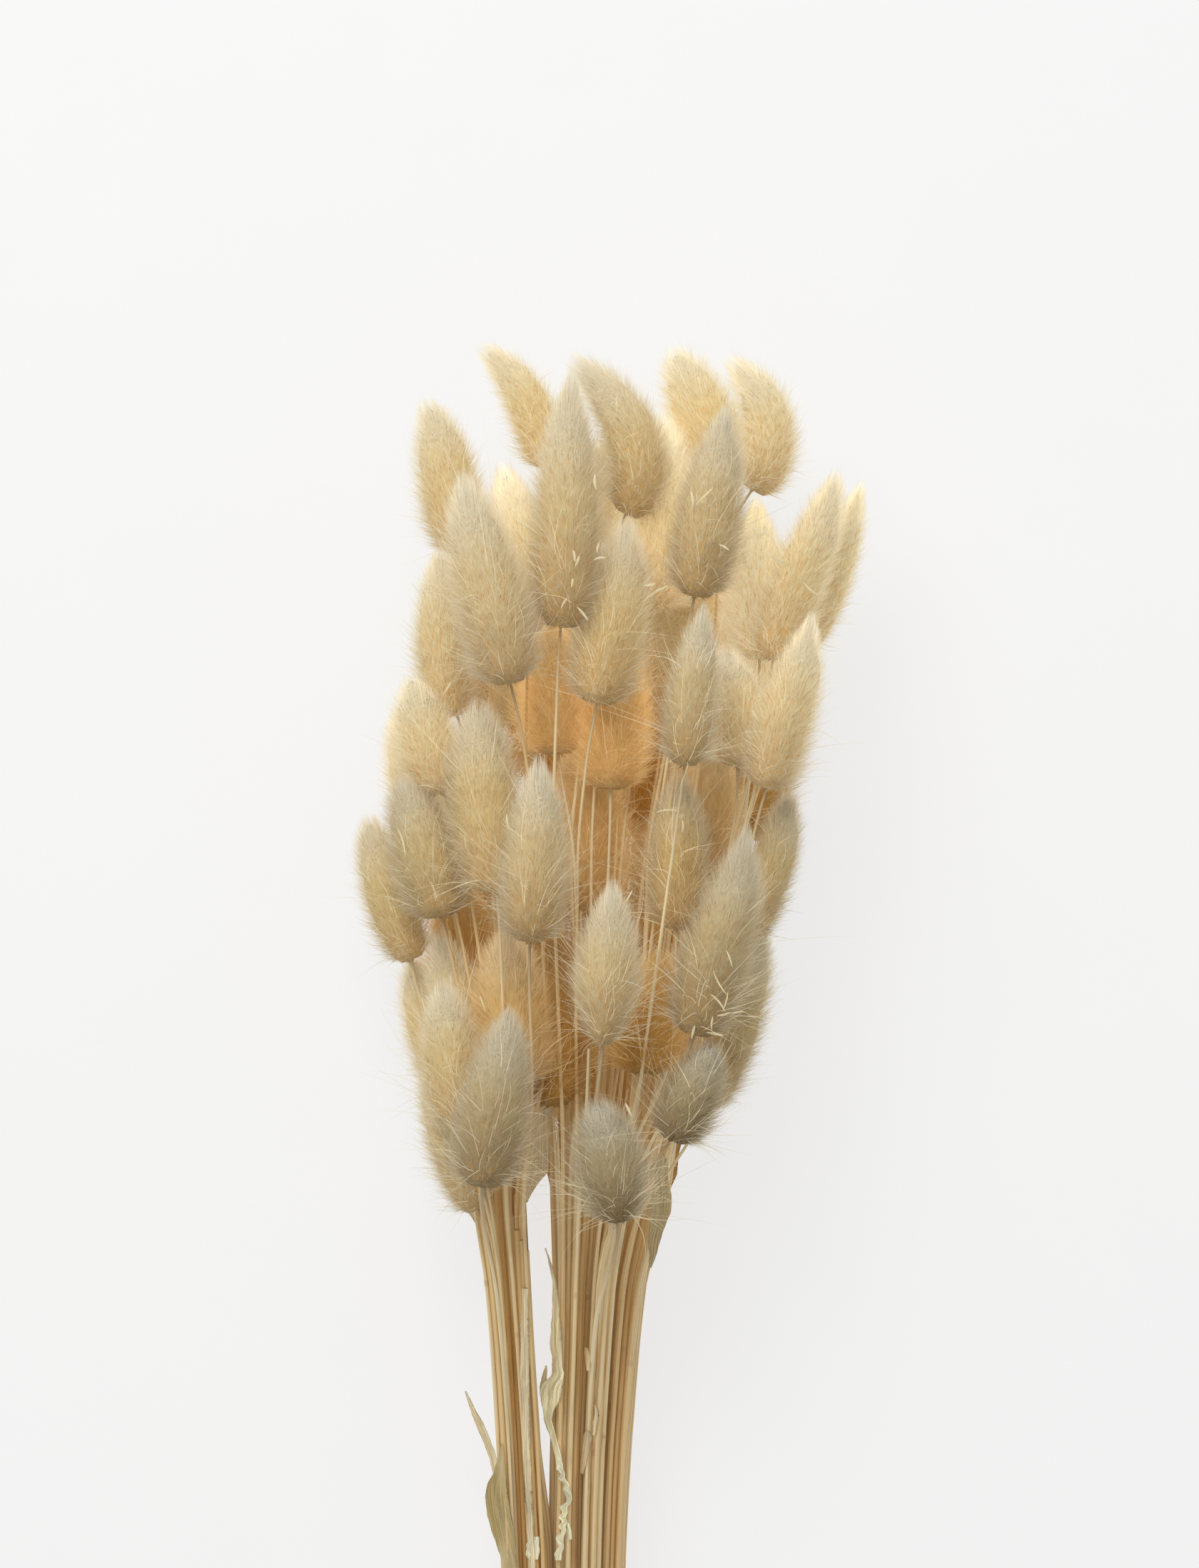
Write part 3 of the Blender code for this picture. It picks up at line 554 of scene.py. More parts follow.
def make_awns(head, count, wisps, longest, draw):
    """Long thin awns that stand out of the lower part and bend with their own weight. The last
    ones, the wisps, stand well out to the head's two sides."""
    count += wisps
    last = np.arange(count) >= count - wisps
    t = draw.beta(1.1, 3.0, count) * np.where(last, 0.5, 0.9) + 0.02
    angle = draw.uniform(0, 2 * math.pi, count)
    aside = math.pi * draw.integers(0, 2, count) + draw.normal(0.0, 0.5, count)
    angle = np.where(last, aside, angle)
    lean = np.interp(t, (0, 0.2, 0.8), (78, 52, 28)) + draw.normal(0, 16, count) + 14 * last
    length = draw.uniform(7, longest, count) * head.scale
    wander = draw.normal(0, 0.34, (count, 3))
    out, ahead, way = head_ways(head, t, angle, lean)
    start = head.place(t, 0.6 * head.reach(t), angle)
    points = [start + (way + wander * s) * (length * s)[:, None] for s in np.linspace(0, 1, 5)]
    # The awns are paler with painted light, and have a painted glow
    return blades(
        np.stack(points, axis=1), draw.uniform(0.12, 0.22, count), draw.uniform(-1.2, 1.2, count),
        out + 0.2 * ahead, along=(0.5, 0.5), height=0.5 + 0.5 * t,
        tone=draw.uniform(0.6, 1, count), bleach=0.6, glow=0.44,
    )


def make_whorl(head, draw):
    """The ring of small dry brown bracts where the head sits on its stem."""
    angle = np.arange(BRACTS) * GOLDEN_ANGLE
    t, lean = draw.uniform(0.0, 0.035, BRACTS), draw.uniform(60, 125, BRACTS)
    length = (draw.uniform(1.8, 3.6, BRACTS) * head.half / USUAL_HALF)[:, None]
    out, ahead, way = head_ways(head, t, angle, lean)
    start = head.place(t, 0.20 * head.reach(t), angle)
    bow = ahead * draw.uniform(0.05, 0.35, BRACTS)[:, None]
    points = np.stack([start + (way * s + bow * s * s) * length for s in (0, 0.5, 1)], axis=1)
    part = blades(
        points, draw.uniform(0.35, 0.6, BRACTS), draw.uniform(-0.6, 0.6, BRACTS), out - 0.3 * ahead,
        along=(0.4, 0.4), height=t, dark=draw.uniform(0.35, 0.95, BRACTS), tone=draw.random(BRACTS),
    )
    part["dark"] = part["dark"] * (1.5 - 1.25 * part["along"])  # half as dark at the tips
    return part


# ---- Shoots ----------------------------------------------------------------------------------
# A stem and the head that grew on it are one piece of dry plant. The heads on the near side of the
# bunch are a pale greyish cream, and the ones at its edges and behind are more golden, partly in
# their own tone and partly with painted light through them and painted warm shade between them.
# Loose husks, bright as fresh straw, are caught in the hair of some heads.
MARKS = ("along", "height", "tone", "dark", "warmth", "bleach", "glow", "side")
HIDDEN = range(43, 54)  # the shoots that lie on the ground under the others
DEEP = (*HIDDEN, 40, 41, 42, 38, 39, 54, 55, 56)  # those, and the heads deep between the others
# Heads whose hair stands out further than the solid's, or less far
FLUFF = {
    1: 1.12, 2: 1.10, 3: 1.18, 4: 1.14, 5: 1.04, 6: 1.14, 7: 1.04, 9: 1.1, 11: 1.15, 12: 1.38,
    13: 1.10, 14: 0.98, 16: 1.04, 17: 1.25, 18: 1.25, 19: 1.2, 20: 1.2, 21: 1.1, 22: 0.95,
    26: 1.12, 27: 0.9, 28: 0.92, 30: 0.97, 31: 1.1, 32: 1.05, 33: 1.08, 35: 1.1, 36: 0.88, 37: 0.95,
}
# How far, in mm along x, a soft head hangs beside its solid: at its tip and at its base
HANGS = {
    1: (-3, 0.5), 4: (-1.2, 0), 5: (-4, -1.5), 12: (-1, 1), 14: (-1, -2.5), 15: (0.5, -3),
    16: (-1, -1), 22: (1.5, 1), 27: (-2, -3), 28: (-1.5, -3.5), 34: (-0.6, 3), 37: (1.6, 2.2),
    30: (1.6, 2), 36: (1, 3.5),
}
# Heads that the light shines through from behind, or under 0 where they lie in shade
GLOW = {
    1: 0.02, 4: 0.07, 5: 0.10, 6: -0.06, 7: -0.02, 9: 0.3, 10: -0.06, 12: 0.5, 13: -0.05, 14: 0.05,
    15: 0.04, 16: 0.05, 17: 0.28, 18: 0.42, 19: 0.06, 20: -0.12, 22: 0.05, 23: -0.04, 24: -0.03,
    25: -0.10, 26: -0.2, 27: -0.12, 28: -0.11, 29: -0.18, 30: -0.03, 31: -0.03, 32: -0.08,
    33: -0.10, 34: -0.07, 35: -0.14, 36: -0.12, 37: -0.05, 38: -0.06, 39: -0.2, 40: 0.1, 41: 0.22,
    42: -0.08, 43: 0.2, 54: -0.06, 55: -0.10, 56: -0.12,
}
HIDDEN_GLOW = -0.18
# Heads with long awns at their sides, and how many
WISPS = {
    8: 20, 11: 30, 12: 30, 13: 30, 19: 30, 20: 30, 23: 50, 24: 30, 25: 40, 29: 50, 30: 24, 32: 20,
    33: 60,
}
# Heads at the edges, with short awns
OUTER = (1, 3, 4, 5, 7, 10, 14, 15, 16, 21, 22, 27, 28, 30, 34, 36, 37)
LONGEST_AWN, LONGEST_OUTER_AWN = 19, 9  # mm
# Heads with a warmth of their own, from 0, greyish cream, over 1, golden, to 2, deep gold. The
# gold is partly the heads' tone and partly painted light and painted warm shade
WARMTH = {
    11: 0.75, 38: 1.35, 39: 2, 54: 1.8, 55: 1.4, 12: 1, 17: 0.5, 18: 0.7, 20: 1, 29: 1.25, 36: 0.2,
    43: 1.3,
}
LOOSE_SPREAD = 1.3  # the hair of heads deep in the bunch spreads wider, into the room between them
# How full a head is towards its tip, from 0, pointed, to 1, blunt
POINTED_HEADS, POINTED_BLUNT = (2, 6, 13, 16, 17, 23, 24, 25), 0.1
HALF_POINTED, HALF_BLUNT = (8, 10, 11, 14, 15, 21, 32), 0.45
USUAL_BLUNT = 0.85
SLIM_BASE = {24: 0.5, 33: 0.8}  # how wide a head is at its base, against the usual
# Lower heads are more golden: painted light through them and painted warm shade between them
FRONT_HEIGHT = (44.0, 78.0)  # mm over the ground, where the colour turns from golden to cream
# How much painted light pales a head, or under 0 how much painted shade darkens it
PAINTED_LIGHT = {
    1: 0.25, 2: -0.05, 4: 0.25, 5: 0.45, 7: 0.25, 8: 0.2, 9: 0.6, 10: 0.4, 12: 0.4, 13: -0.1,
    14: 0.45, 15: 0.9, 16: 0.4, 17: 1.5, 18: 0.8, 19: 0.45, 20: 0.1, 21: 0.5, 22: 0.5, 24: 0.1,
    25: -0.25, 26: -0.65, 27: -0.17, 28: -0.33, 29: -0.1, 30: -0.1, 31: 0.05, 32: -0.45, 33: -0.64,
    34: -0.08, 35: -0.12, 36: 0.5, 37: 0.3, 40: 0.35, 41: 0.35, 54: 0.25, 55: 0.15, 56: 0.1,
}
MIDDLE_X = -5.0  # mm, the middle of the bunch
OUTSIDE_PALER = 1.3  # how much less painted warm shade a head on the ground has on its outer side
OUTSIDE_GLOW = 0.1  # the light that shows on that side
OUTSIDE_WAY = (0.8, 0, -0.6)  # the way that it faces on the bunch's right, and turned on its left
NECK_DARK, NECK_GOLD = 0.95, 0.6  # painted shade on a pale head's neck, and how much less a golden one's
USUAL_GLOW, GOLD_GLOW, PAINTED_LIT_GLOW = 0.20, 0.06, 0.2  # the light through a head, and what adds to it
GAP_X, GAP_Y = -18.5, -30.0  # mm, a place in the gap between the two sheaves of stems
RIGHT_TONE = 0.42  # the least tone of a stem in the right sheaf, which is the paler one
# Down the stems: y, then the two edges of the left sheaf and the two of the right one
SHEAVES = np.array((
    (-98, -31.7, -18.6, -17.9, 4.2), (-83, -32.2, -19.4, -17.7, 4.8), (-67, -32.9, -20.2, -17.5, 5.7),
    (-51, -33.8, -21.2, -17.2, 7), (-35, -34.9, -22.2, -16.9, 8.4), (-19, -36.4, -23, -16.9, 10.2),
    (-3, -39, -23.8, -17.4, 14.6), (12, -41, -24.4, -18, 18),
))
LEFT_EDGES, RIGHT_EDGES = (1, 2), (3, 4)
# Tufts of shed hair between the heads: x, y, z and how far they reach, in mm, and how golden they are
TUFTS = (
    (-28, 139, 18, 7, 2), (-26.5, 128, 18, 7, 2), (-0.3, 199, 22, 7, 1.4), (10, 165, 28, 9, 1.5),
    (10, 150, 24, 9, 1.8), (19, 168, 40, 8, 1.1), (23, 160, 40, 8, 1.1), (16.5, 157, 38, 9, 1.2),
    (13, 165, 40, 8, 1.1), (-31, 144, 24, 9, 1.3), (-12, 85, 12, 7, 1.8), (12, 75, 9, 6, 2),
    (8.2, 106, 16, 6, 2), (6.5, 97, 16, 6, 2), (13.6, 81, 14, 6, 2), (21.6, 50, 14, 6, 2),
    (-7.4, 44, 14, 6, 2), (-15.4, 28, 14, 7, 1.5), (-48, 95, 16, 7, 1.5), (28, 130, 18, 6, 2),
    (-38, 40, 14, 6, 1.5), (-1.8, 193, 26, 8, 1.4), (-2.4, 206, 26, 6, 1), (-3, 213, 26, 5, 1),
    (13, 196, 26, 8, 1.2),
)
TUFT_HAIRS = 420
# Where a husk lies, as x and y in mm, the way it points in degrees, and its length in mm
HUSKS = (
    (25.6, 201, 45, 7), (22.4, 200, 96, 5.5), (31.2, 187, -30, 3.2), (12.2, 174.8, 32, 8.6),
    (10.6, 176.6, 12, 3.4), (-4.8, 205, 95, 4.6), (-4, 186.8, 80, 3), (-9.6, 183, 70, 3.2),
    (46.8, 183.8, -15, 5.6), (55.2, 175.6, -42, 5.4), (15.2, 114, 5, 5.8), (19.8, 109.4, 88, 3.6),
    (-58.2, 105, -75, 8.5), (-28.6, 228, -70, 4.2), (4.6, 90, 60, 4.5), (29.6, 61, -50, 6.5),
    (31, 57.4, 15, 4), (22.6, 53, 75, 5), (-20, 73, 40, 4), (4.6, 31, -65, 4.2),
    (-10.4, 184.5, 100, 3.6), (-13.4, 171.5, 60, 3.5), (-8, 168.6, -50, 5), (-3.4, 184, 10, 3.6),
    (-11, 177, 80, 2.6), (29.6, 66, -60, 8), (31.6, 61, 75, 6), (34.6, 58, 10, 4),
    (27.6, 55, 85, 4), (32.6, 73, 110, 5), (28.6, 52, -10, 5), (-29, 111, 100, 4),
    (-36, 60, 110, 5), (-46, 148, 60, 4.4), (40, 140, 120, 4.2),
)
HUSK_THICK = 0.12  # mm
HUSK_PALE, HUSK_TAN = (0.93, 0.84, 0.55), (0.74, 0.56, 0.30)
HEAD_MIDDLE = 30  # which of the points down a head's middle line is half way
HEAD_FROM = 1.6  # mm, the radius from where a solid is head and no longer stem
MOST_RADIUS = 1.3  # mm, of a stem close under its head
# The room that a piece may fill, in mm
LOWEST, HIGHEST = (-85, -265, 0.2), (85, 265, 106)

husk_skin, wire, shader = new_finish("husk", {})
veins = wire.grain((7.0, 1.0, 0.25), 3.0)
((veins - 0.35) * 1.6).blend(HUSK_PALE, HUSK_TAN).feed(shader, "Base Color")
(veins * 0.3 + 0.25).feed(shader, "Roughness")
veins.bump(shader, 0.6, 0.0003)


def sheet(grid, thick, across_mm, along_mm, **marks):
    """A thin closed sheet through a grid of points, with its best face up."""
    n, m = grid.shape[:2]
    normal = unit(np.cross(np.gradient(grid, axis=1), np.gradient(grid, axis=0)), 1e-12)
    way = 1 if normal[:, :, 2].sum() > 0 else -1
    normal = way * normal
    top, under = grid + normal * thick / 2, grid - normal * thick / 2
    spot = np.arange(n * m).reshape(n, m)
    a, b, c, d = (s.ravel() for s in (spot[:-1, :-1], spot[:-1, 1:], spot[1:, 1:], spot[1:, :-1]))
    face = np.vstack([np.column_stack([a, b, c]), np.column_stack([a, c, d])])
    rim = np.concatenate([spot[0, :-1], spot[:-1, -1], spot[-1, :0:-1], spot[:0:-1, 0]])
    after = np.roll(rim, -1)
    low = n * m
    walls = [np.column_stack([rim, rim + low, after]), np.column_stack([after, rim + low, after + low])]
    faces = np.vstack([face, face[:, ::-1] + low, *walls])
    local = np.zeros((n, m, 3))
    local[:, :, 0], local[:, :, 2] = across_mm, along_mm
    part = {
        "points": np.vstack([top.reshape(-1, 3), under.reshape(-1, 3)]),
        "normals": np.vstack([normal.reshape(-1, 3), -normal.reshape(-1, 3)]),
        "faces": faces if way > 0 else faces[:, ::-1],
        "local": np.tile(local.reshape(-1, 3), (2, 1)),
    }
    for key, value in marks.items():
        part[key] = np.tile(np.broadcast_to(value, (n, m)).ravel(), 2)
    return part


def make_husk(x, y, z, degrees, length, draw):
    """A narrow husk, cupped across and bowed along, that rests on the hair at its two ends."""
    s = np.linspace(-0.5, 0.5, 9)[:, None]
    u = np.linspace(-1, 1, 5)[None]
    turn = math.radians(degrees) + draw.uniform(-0.35, 0.35) * s
    half = draw.uniform(0.18, 0.36) * np.clip(1 - np.abs(2 * s) ** 1.5, 0, 1) ** 0.7 + 0.03
    along = length * s
    grid = np.stack([
        x + along * np.cos(turn) - half * u * np.sin(turn),
        y + along * np.sin(turn) + half * u * np.cos(turn),
        z + 0.25 * length * (0.25 - s * s) - 0.25 * half * u * u + 0 * turn,
    ], axis=2)
    return sheet(grid, HUSK_THICK, half * u, along + 0 * u)


def add_object(name, data):
    made = bpy.data.objects.new(name, data)
    bpy.context.scene.collection.objects.link(made)
    return made


def join_piece(name, parts, finishes):
    """One mesh object out of several parts, each with its own finish."""
    mesh = bpy.data.meshes.new(name)
    shift = np.cumsum([0] + [len(p["points"]) for p in parts])
    points = np.clip(np.vstack([p["points"] for p in parts]), LOWEST, HIGHEST) * MM
    faces = np.vstack([p["faces"] + s for p, s in zip(parts, shift)]).astype(np.int32)
    mesh.vertices.add(len(points))
    mesh.vertices.foreach_set("co", points.ravel())
    mesh.loops.add(faces.size)
    mesh.loops.foreach_set("vertex_index", faces.ravel())
    mesh.polygons.add(len(faces))
    mesh.polygons.foreach_set("loop_start", np.arange(0, faces.size, 3, dtype=np.int32))
    used = list(dict.fromkeys(finishes))
    kinds = np.array([used.index(finish) for finish in finishes], dtype=np.int32)
    mesh.polygons.foreach_set("material_index", np.repeat(kinds, [len(p["faces"]) for p in parts]))
    mesh.polygons.foreach_set("use_smooth", np.ones(len(faces), dtype=bool))
    mesh.update(calc_edges=True)
    for key in MARKS:
        values = [np.broadcast_to(p.get(key, 0.0), len(p["points"])) for p in parts]
        mark = mesh.attributes.new(key, "FLOAT", "POINT")
        mark.data.foreach_set("value", np.concatenate(values))
    local = np.vstack([p.get("local", np.zeros((len(p["points"]), 3))) for p in parts])
    mark = mesh.attributes.new("local", "FLOAT_VECTOR", "POINT")
    mark.data.foreach_set("vector", local.ravel())
    for finish in used:
        mesh.materials.append(finish)
    normals = unit(np.vstack([p["normals"] for p in parts]), 1e-12)
    mesh.normals_split_custom_set_from_vertices(normals.tolist())
    return add_object(name, mesh)


def read_shoot(node):
    """The stem's sections and the head's middle line and half width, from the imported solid."""
    low, high = (np.array(corner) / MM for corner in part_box(node))
    sections = cut_sections(node, np.arange(low[1] + 0.3, high[1] - 0.2, 1.5))
    base = np.flatnonzero(sections[:, 3] > HEAD_FROM)[0]
    stem = np.vstack([sections[: base + 1 : 3], sections[base]])
    radius = np.minimum(stem[:, 3], MOST_RADIUS)
    radius[-1] = radius[-2]
    brush = sections[base:]
    t = np.linspace(0, 1, len(brush))
    weight = np.where(t > 0.93, 0.3, 1)
    curves = [np.polyfit(brush[:, 1], brush[:, k], 3, w=weight) for k in (0, 2)]
    y = np.linspace(sections[base, 1] - 0.6, high[1] - 0.4, 2 * HEAD_MIDDLE)
    line = np.column_stack([np.polyval(curves[0], y), y, np.polyval(curves[1], y)])
    points = np.array([v.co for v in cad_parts[node].data.vertices]) / MM
    points = points[(points[:, 1] > y[4]) & (points[:, 1] < y[-8])]
    gaps = np.linalg.norm(points[:, None] - line[None], axis=2).min(1)
    stem[-1, :3] = line[1]
    stem = np.vstack([stem[:-1], [*line[1], 1], [*line[6], 1]])
    radius = np.append(radius, radius[-1])
    stem[:, :3] = smoothed(stem[:, :3], 3)
    return stem, radius, line, gaps.max() / SOLID_HAIR


def crown(head, x, y):
    """How high a head's hair stands over a place, or nothing where the place is beside it."""
    gaps = np.hypot(head.line[:, 0] - x, head.line[:, 1] - y)
    i = gaps.argmin()
    reach = head.reach(head.stations[i])
    return head.line[i, 2] + 0.9 * math.sqrt(reach**2 - gaps[i] ** 2) if gaps[i] < reach else 0.0


def eased(x):
    return x * x * (3 - 2 * x)


def sheaf_edge(y, edge):
    return np.interp(y, SHEAVES[:, 0], SHEAVES[:, edge])


def combed(stem, share, left):
    """A stem drawn to its place in its sheaf, where the sheaf's edges are known."""
    y = stem[:, 1]
    low, high = (sheaf_edge(y, edge) for edge in (LEFT_EDGES if left else RIGHT_EDGES))
    target = low + 0.8 + share * (high - low - 1.6)
    pull = np.interp(y, (-135, -98, -3, 40), (0, 1, 1, 0)) * np.clip((y[-1] - y) / 45, 0, 1)
    moved = stem.copy()
    moved[:, 0] += eased(pull) * (target - stem[:, 0])
    return moved


def make_tuft(x, y, z, reach, warmth, draw):
    """A loose tuft of hair that heads have shed, open upwards and towards their tips."""
    count = TUFT_HAIRS
    way = draw.normal(0, 1, (count, 3)) + (0, 0.7, 0)
    way[:, 2] = 0.6 * np.abs(way[:, 2])
    way = unit(way)
    root = np.array((x, y, z)) + draw.normal(0, 0.3 * reach, (count, 3)) * (1, 1.3, 0.3)
    tips = root + way * (reach * draw.uniform(0.5, 1.1, count))[:, None]
    middle = 0.5 * (root + tips) + draw.normal(0, 0.06 * reach, (count, 3))
    return blades(
        np.stack([root, middle, tips], axis=1), draw.uniform(0.18, 0.34, count),
        draw.uniform(-1, 1, count), way + (0, 0, 1), along=(0.3, 0.5),
        height=draw.uniform(0.2, 0.6, count), tone=draw.random(count), warmth=warmth, glow=0.26,
    )


shoots = []
for number in range(1, 57):
    stem, radius, line, half = read_shoot(f"shoot_{number:02d}")
    at_tip, at_base = HANGS.get(number, (0, 0))
    line[:, 0] += np.linspace(at_base, at_tip, len(line))
    stem[:, 0] += at_base * np.clip(1 - (stem[-1, 1] - stem[:, 1]) / 60, 0, 1) ** 2
    lift = (line[HEAD_MIDDLE, 2] - FRONT_HEIGHT[0]) / (FRONT_HEIGHT[1] - FRONT_HEIGHT[0])
    warmth = WARMTH.get(number, 2.0 if number in DEEP else 1 - 0.9 * np.clip(lift, 0, 1))
    blunt = POINTED_BLUNT if number in POINTED_HEADS else USUAL_BLUNT
    blunt = HALF_BLUNT if number in HALF_POINTED else blunt
    half *= LOOSE_SPREAD if number in DEEP else FLUFF.get(number, 1.0)
    head = Head(line, half, warmth, blunt, number, SLIM_BASE.get(number, 1.0))
    shoots.append((stem, radius, head, []))
at_gap = np.array([np.interp(GAP_Y, stem[:, 1], stem[:, 0]) for stem, _, _, _ in shoots])
for left in (True, False):
    sheaf = np.flatnonzero((at_gap < GAP_X) == left)
    sheaf = sheaf[np.argsort(at_gap[sheaf])]
    wide = at_gap[sheaf[-1]] - at_gap[sheaf[0]]
    for rank, i in enumerate(sheaf):
        share = 0.6 * rank / (len(sheaf) - 1) + 0.4 * (at_gap[i] - at_gap[sheaf[0]]) / wide
        shoots[i] = (combed(shoots[i][0], share, left), *shoots[i][1:])
for number, (x, y, degrees, length) in enumerate(HUSKS):
    draw = np.random.default_rng(3000 + number)
    heights = [crown(head, x, y) for _, _, head, _ in shoots]
    if max(heights) > 0:
        husk = make_husk(x, y, max(heights), degrees, length, draw)
        shoots[int(np.argmax(heights))][3].append(husk)
tufts = {number: [] for number in range(1, 57)}
for number, (x, y, z, reach, warmth) in enumerate(TUFTS):
    draw = np.random.default_rng(3500 + number)
    near = min(DEEP, key=lambda n: math.dist(shoots[n - 1][2].line[HEAD_MIDDLE, :2], (x, y)))
    tufts[near].append(make_tuft(x, y, z, reach, warmth, draw))

for number, (stem, radius, head, husks) in enumerate(shoots, start=1):
    draw = np.random.default_rng(1000 + number)
    hidden, gold = number in HIDDEN, min(head.warmth, 1)
    share = HIDDEN_HAIRS if hidden else 1.0
    tone = draw.uniform(RIGHT_TONE * (at_gap[number - 1] > GAP_X), 1)
    longest = LONGEST_OUTER_AWN if number in OUTER else LONGEST_AWN
    parts = [
        make_stem(stem, radius, tone, NECK_DARK - NECK_GOLD * gold, draw, number),
        make_wool(head, draw),
        make_hairs(head, int(STRAIGHT_HAIRS * share), False, draw),
        make_hairs(head, int(BENT_HAIRS * share), True, draw),
        make_awns(head, int(AWNS * share), WISPS.get(number, 0), longest, draw),
        make_whorl(head, draw),
        *tufts[number],
        *husks,
    ]
    # The head's painted light, under 0 its painted shade, and its painted glow
    bleach = PAINTED_LIGHT.get(number, 0.0)
    glow = USUAL_GLOW + GOLD_GLOW * gold + PAINTED_LIT_GLOW * max(bleach, 0)
    glow += GLOW.get(number, HIDDEN_GLOW if hidden else 0.0)
    outside = np.array(OUTSIDE_WAY) * (np.sign(head.line[HEAD_MIDDLE, 0] - MIDDLE_X), 1, 1)
    for part in parts:
        # On a head under the bunch, the outer side gets less painted warm shade, more painted glow, and
        # parts without a side mark of their own get a little painted rim light
        facing = part["normals"] @ outside / (np.linalg.norm(part["normals"], axis=1) + 1e-9)
        facing = np.clip(1.3 * facing, 0, 1) * hidden
        usual = {
            "warmth": head.warmth - OUTSIDE_PALER * facing, "bleach": bleach, "side": 0.3,
            "glow": glow + OUTSIDE_GLOW * facing,
        }
        part.update({key: value for key, value in usual.items() if key not in part})
    coat = deep_shaded_hair if number in DEEP else hair
    finishes = [straw, wool, *[coat] * 4, *[hair] * len(tufts[number]), *[husk_skin] * len(husks)]
    shoot = join_piece(f"grass_shoot_{number:02d}", parts, finishes)
    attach(shoot, "root")
    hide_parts(f"shoot_{number:02d}")

# ---- Loose straws ----------------------------------------------------------------------------
# Thin straws that bear no head, and blades rolled up as they dried, stand among the shoots. They
# are held by the tie with the rest and end between the lower heads.
LOOSE_RADIUS = 0.7  # mm
WIDEST_GAP = 4  # mm between two stems that a straw stands between
GAP_FOOT = -72.0  # mm, where the gap between the sheaves ends
GAP_STRAWS = (0.22, 0.5, 0.78)  # where three straws at the gap start, from one sheaf to the other
GAP_GRAIN = 90000  # mm, from where their grain is taken
LOOSE_DEPTH = 1.6  # mm that a straw lies under the two stems that it stands between

crossing = sorted(
    (np.interp(GAP_Y, stem[:, 1], stem[:, 0]), number)
    for number, (stem, _, _, _) in enumerate(shoots) if stem[-1, 1] > GAP_Y
)
parts = []
for i, (x, first) in enumerate(crossing[:-1]):
    next_x, second = crossing[i + 1]
    if next_x - x > WIDEST_GAP:
        continue
    draw = np.random.default_rng(4000 + i)
    a, b = shoots[first][0], shoots[second][0]
    top = min(a[-1, 1], b[-1, 1]) - draw.uniform(2, 12)
    foot = max(a[0, 1], b[0, 1]) + draw.uniform(0, 6)
    y = np.linspace(foot, top, max(8, int((top + 235) / 7)))
    line = 0.5 * (between(y, a[:, 1], a) + between(y, b[:, 1], b))
    near_tie = np.clip((y + 150) / 50, 0, 1)
    line[:, 0] += near_tie * 0.4 * np.sin(y / 31 + i)
    line[:, 2] -= LOOSE_DEPTH * near_tie
    share = np.linspace(0, 1, len(y))
    parts.append(tube(
        line, LOOSE_RADIUS * (1 - 0.5 * share**4), 6, y + GRAIN_SHIFT * (60 + i),
        along=0.75 * share, tone=draw.uniform(0.2, 1), dark=0.05, glow=head_light(y),
    ))
gap = next(i for i in range(len(crossing) - 1) if crossing[i + 1][0] > GAP_X)
a, b = (shoots[crossing[i][1]][0] for i in (gap, gap + 1))
for k, share in enumerate(GAP_STRAWS):
    y = np.linspace(-214, -4 - 3 * k, 60)
    line = (1 - share) * between(y, a[:, 1], a) + share * between(y, b[:, 1], b)
    aside = eased(np.clip((y - GAP_FOOT + 28) / 36, 0, 1))
    line[:, 0] += aside * (sheaf_edge(y, LEFT_EDGES[1]) - 0.6 - 1.1 * (2 - k) - line[:, 0])
    line[:, 2] += aside * (np.interp(y, a[:, 1], a[:, 2]) - 1.5 - line[:, 2])
    grain_at = y + GAP_GRAIN + GRAIN_SHIFT * k
    parts.append(tube(line, np.full(60, 0.85), 6, grain_at, along=0.1, tone=0.2 + 0.35 * k, dark=0.05))
loose = join_piece("loose_straws", parts, [straw] * len(parts))
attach(loose, "root")

# ---- Leaves ----------------------------------------------------------------------------------
# A few leaves dried on the lower stems. Each is a thin papery blade or sheath with fine veins,
# folded, torn or crimped as it shrank, and it lies on the stems that it grew among.
LEAF_THICK = 0.22  # mm
LEAF_STEP, LEAF_POINTS = 0.6, 13  # mm between the rows of a leaf, and the points of a row
STEMS_TOP = 36.0  # mm, where a leaf lies that has no stem under it
LEAF_CREAM, LEAF_TAN, LEAF_OLIVE = (0.93, 0.90, 0.66), (0.80, 0.66, 0.42), (0.52, 0.41, 0.19)
LEAF_SHADE = (0.42, 0.33, 0.20)
# Down each leaf: y, its left edge and its right edge in mm, and how deep it is folded there
MIDDLE_LEAF = (
    (-10.2, -18.9, -18.7, 0), (-15, -17.6, -17, 0.1), (-20, -16.5, -15.6, 0.2),
    (-27, -16.6, -14.9, 0.3), (-31, -17, -14.5, 0.4), (-35, -17.4, -14.3, 0.5),
    (-37, -17.6, -14.1, 0.5), (-42, -16.7, -13.9, 0.6), (-46, -16.6, -13.5, 0.7),
    (-48.4, -19.4, -14.1, 0.9), (-50.4, -20.4, -14.3, 1), (-53.4, -20.1, -14.9, 0.9),
    (-56, -19.4, -16.4, 0.8), (-59, -19, -17.1, 0.7), (-62, -18, -16.1, 0.6),
    (-67, -16.6, -14.6, 0.5), (-70, -15.6, -14.1, 0.4), (-74, -15, -13.4, 0.4),
    (-77, -14, -12.4, 0.4), (-79.4, -12.6, -11, 0.4), (-84.4, -14.6, -12.6, 0.5),
    (-88, -14.4, -12.6, 0.5), (-92, -15.2, -13.4, 0.5), (-98.4, -16, -14.4, 0.5),
)
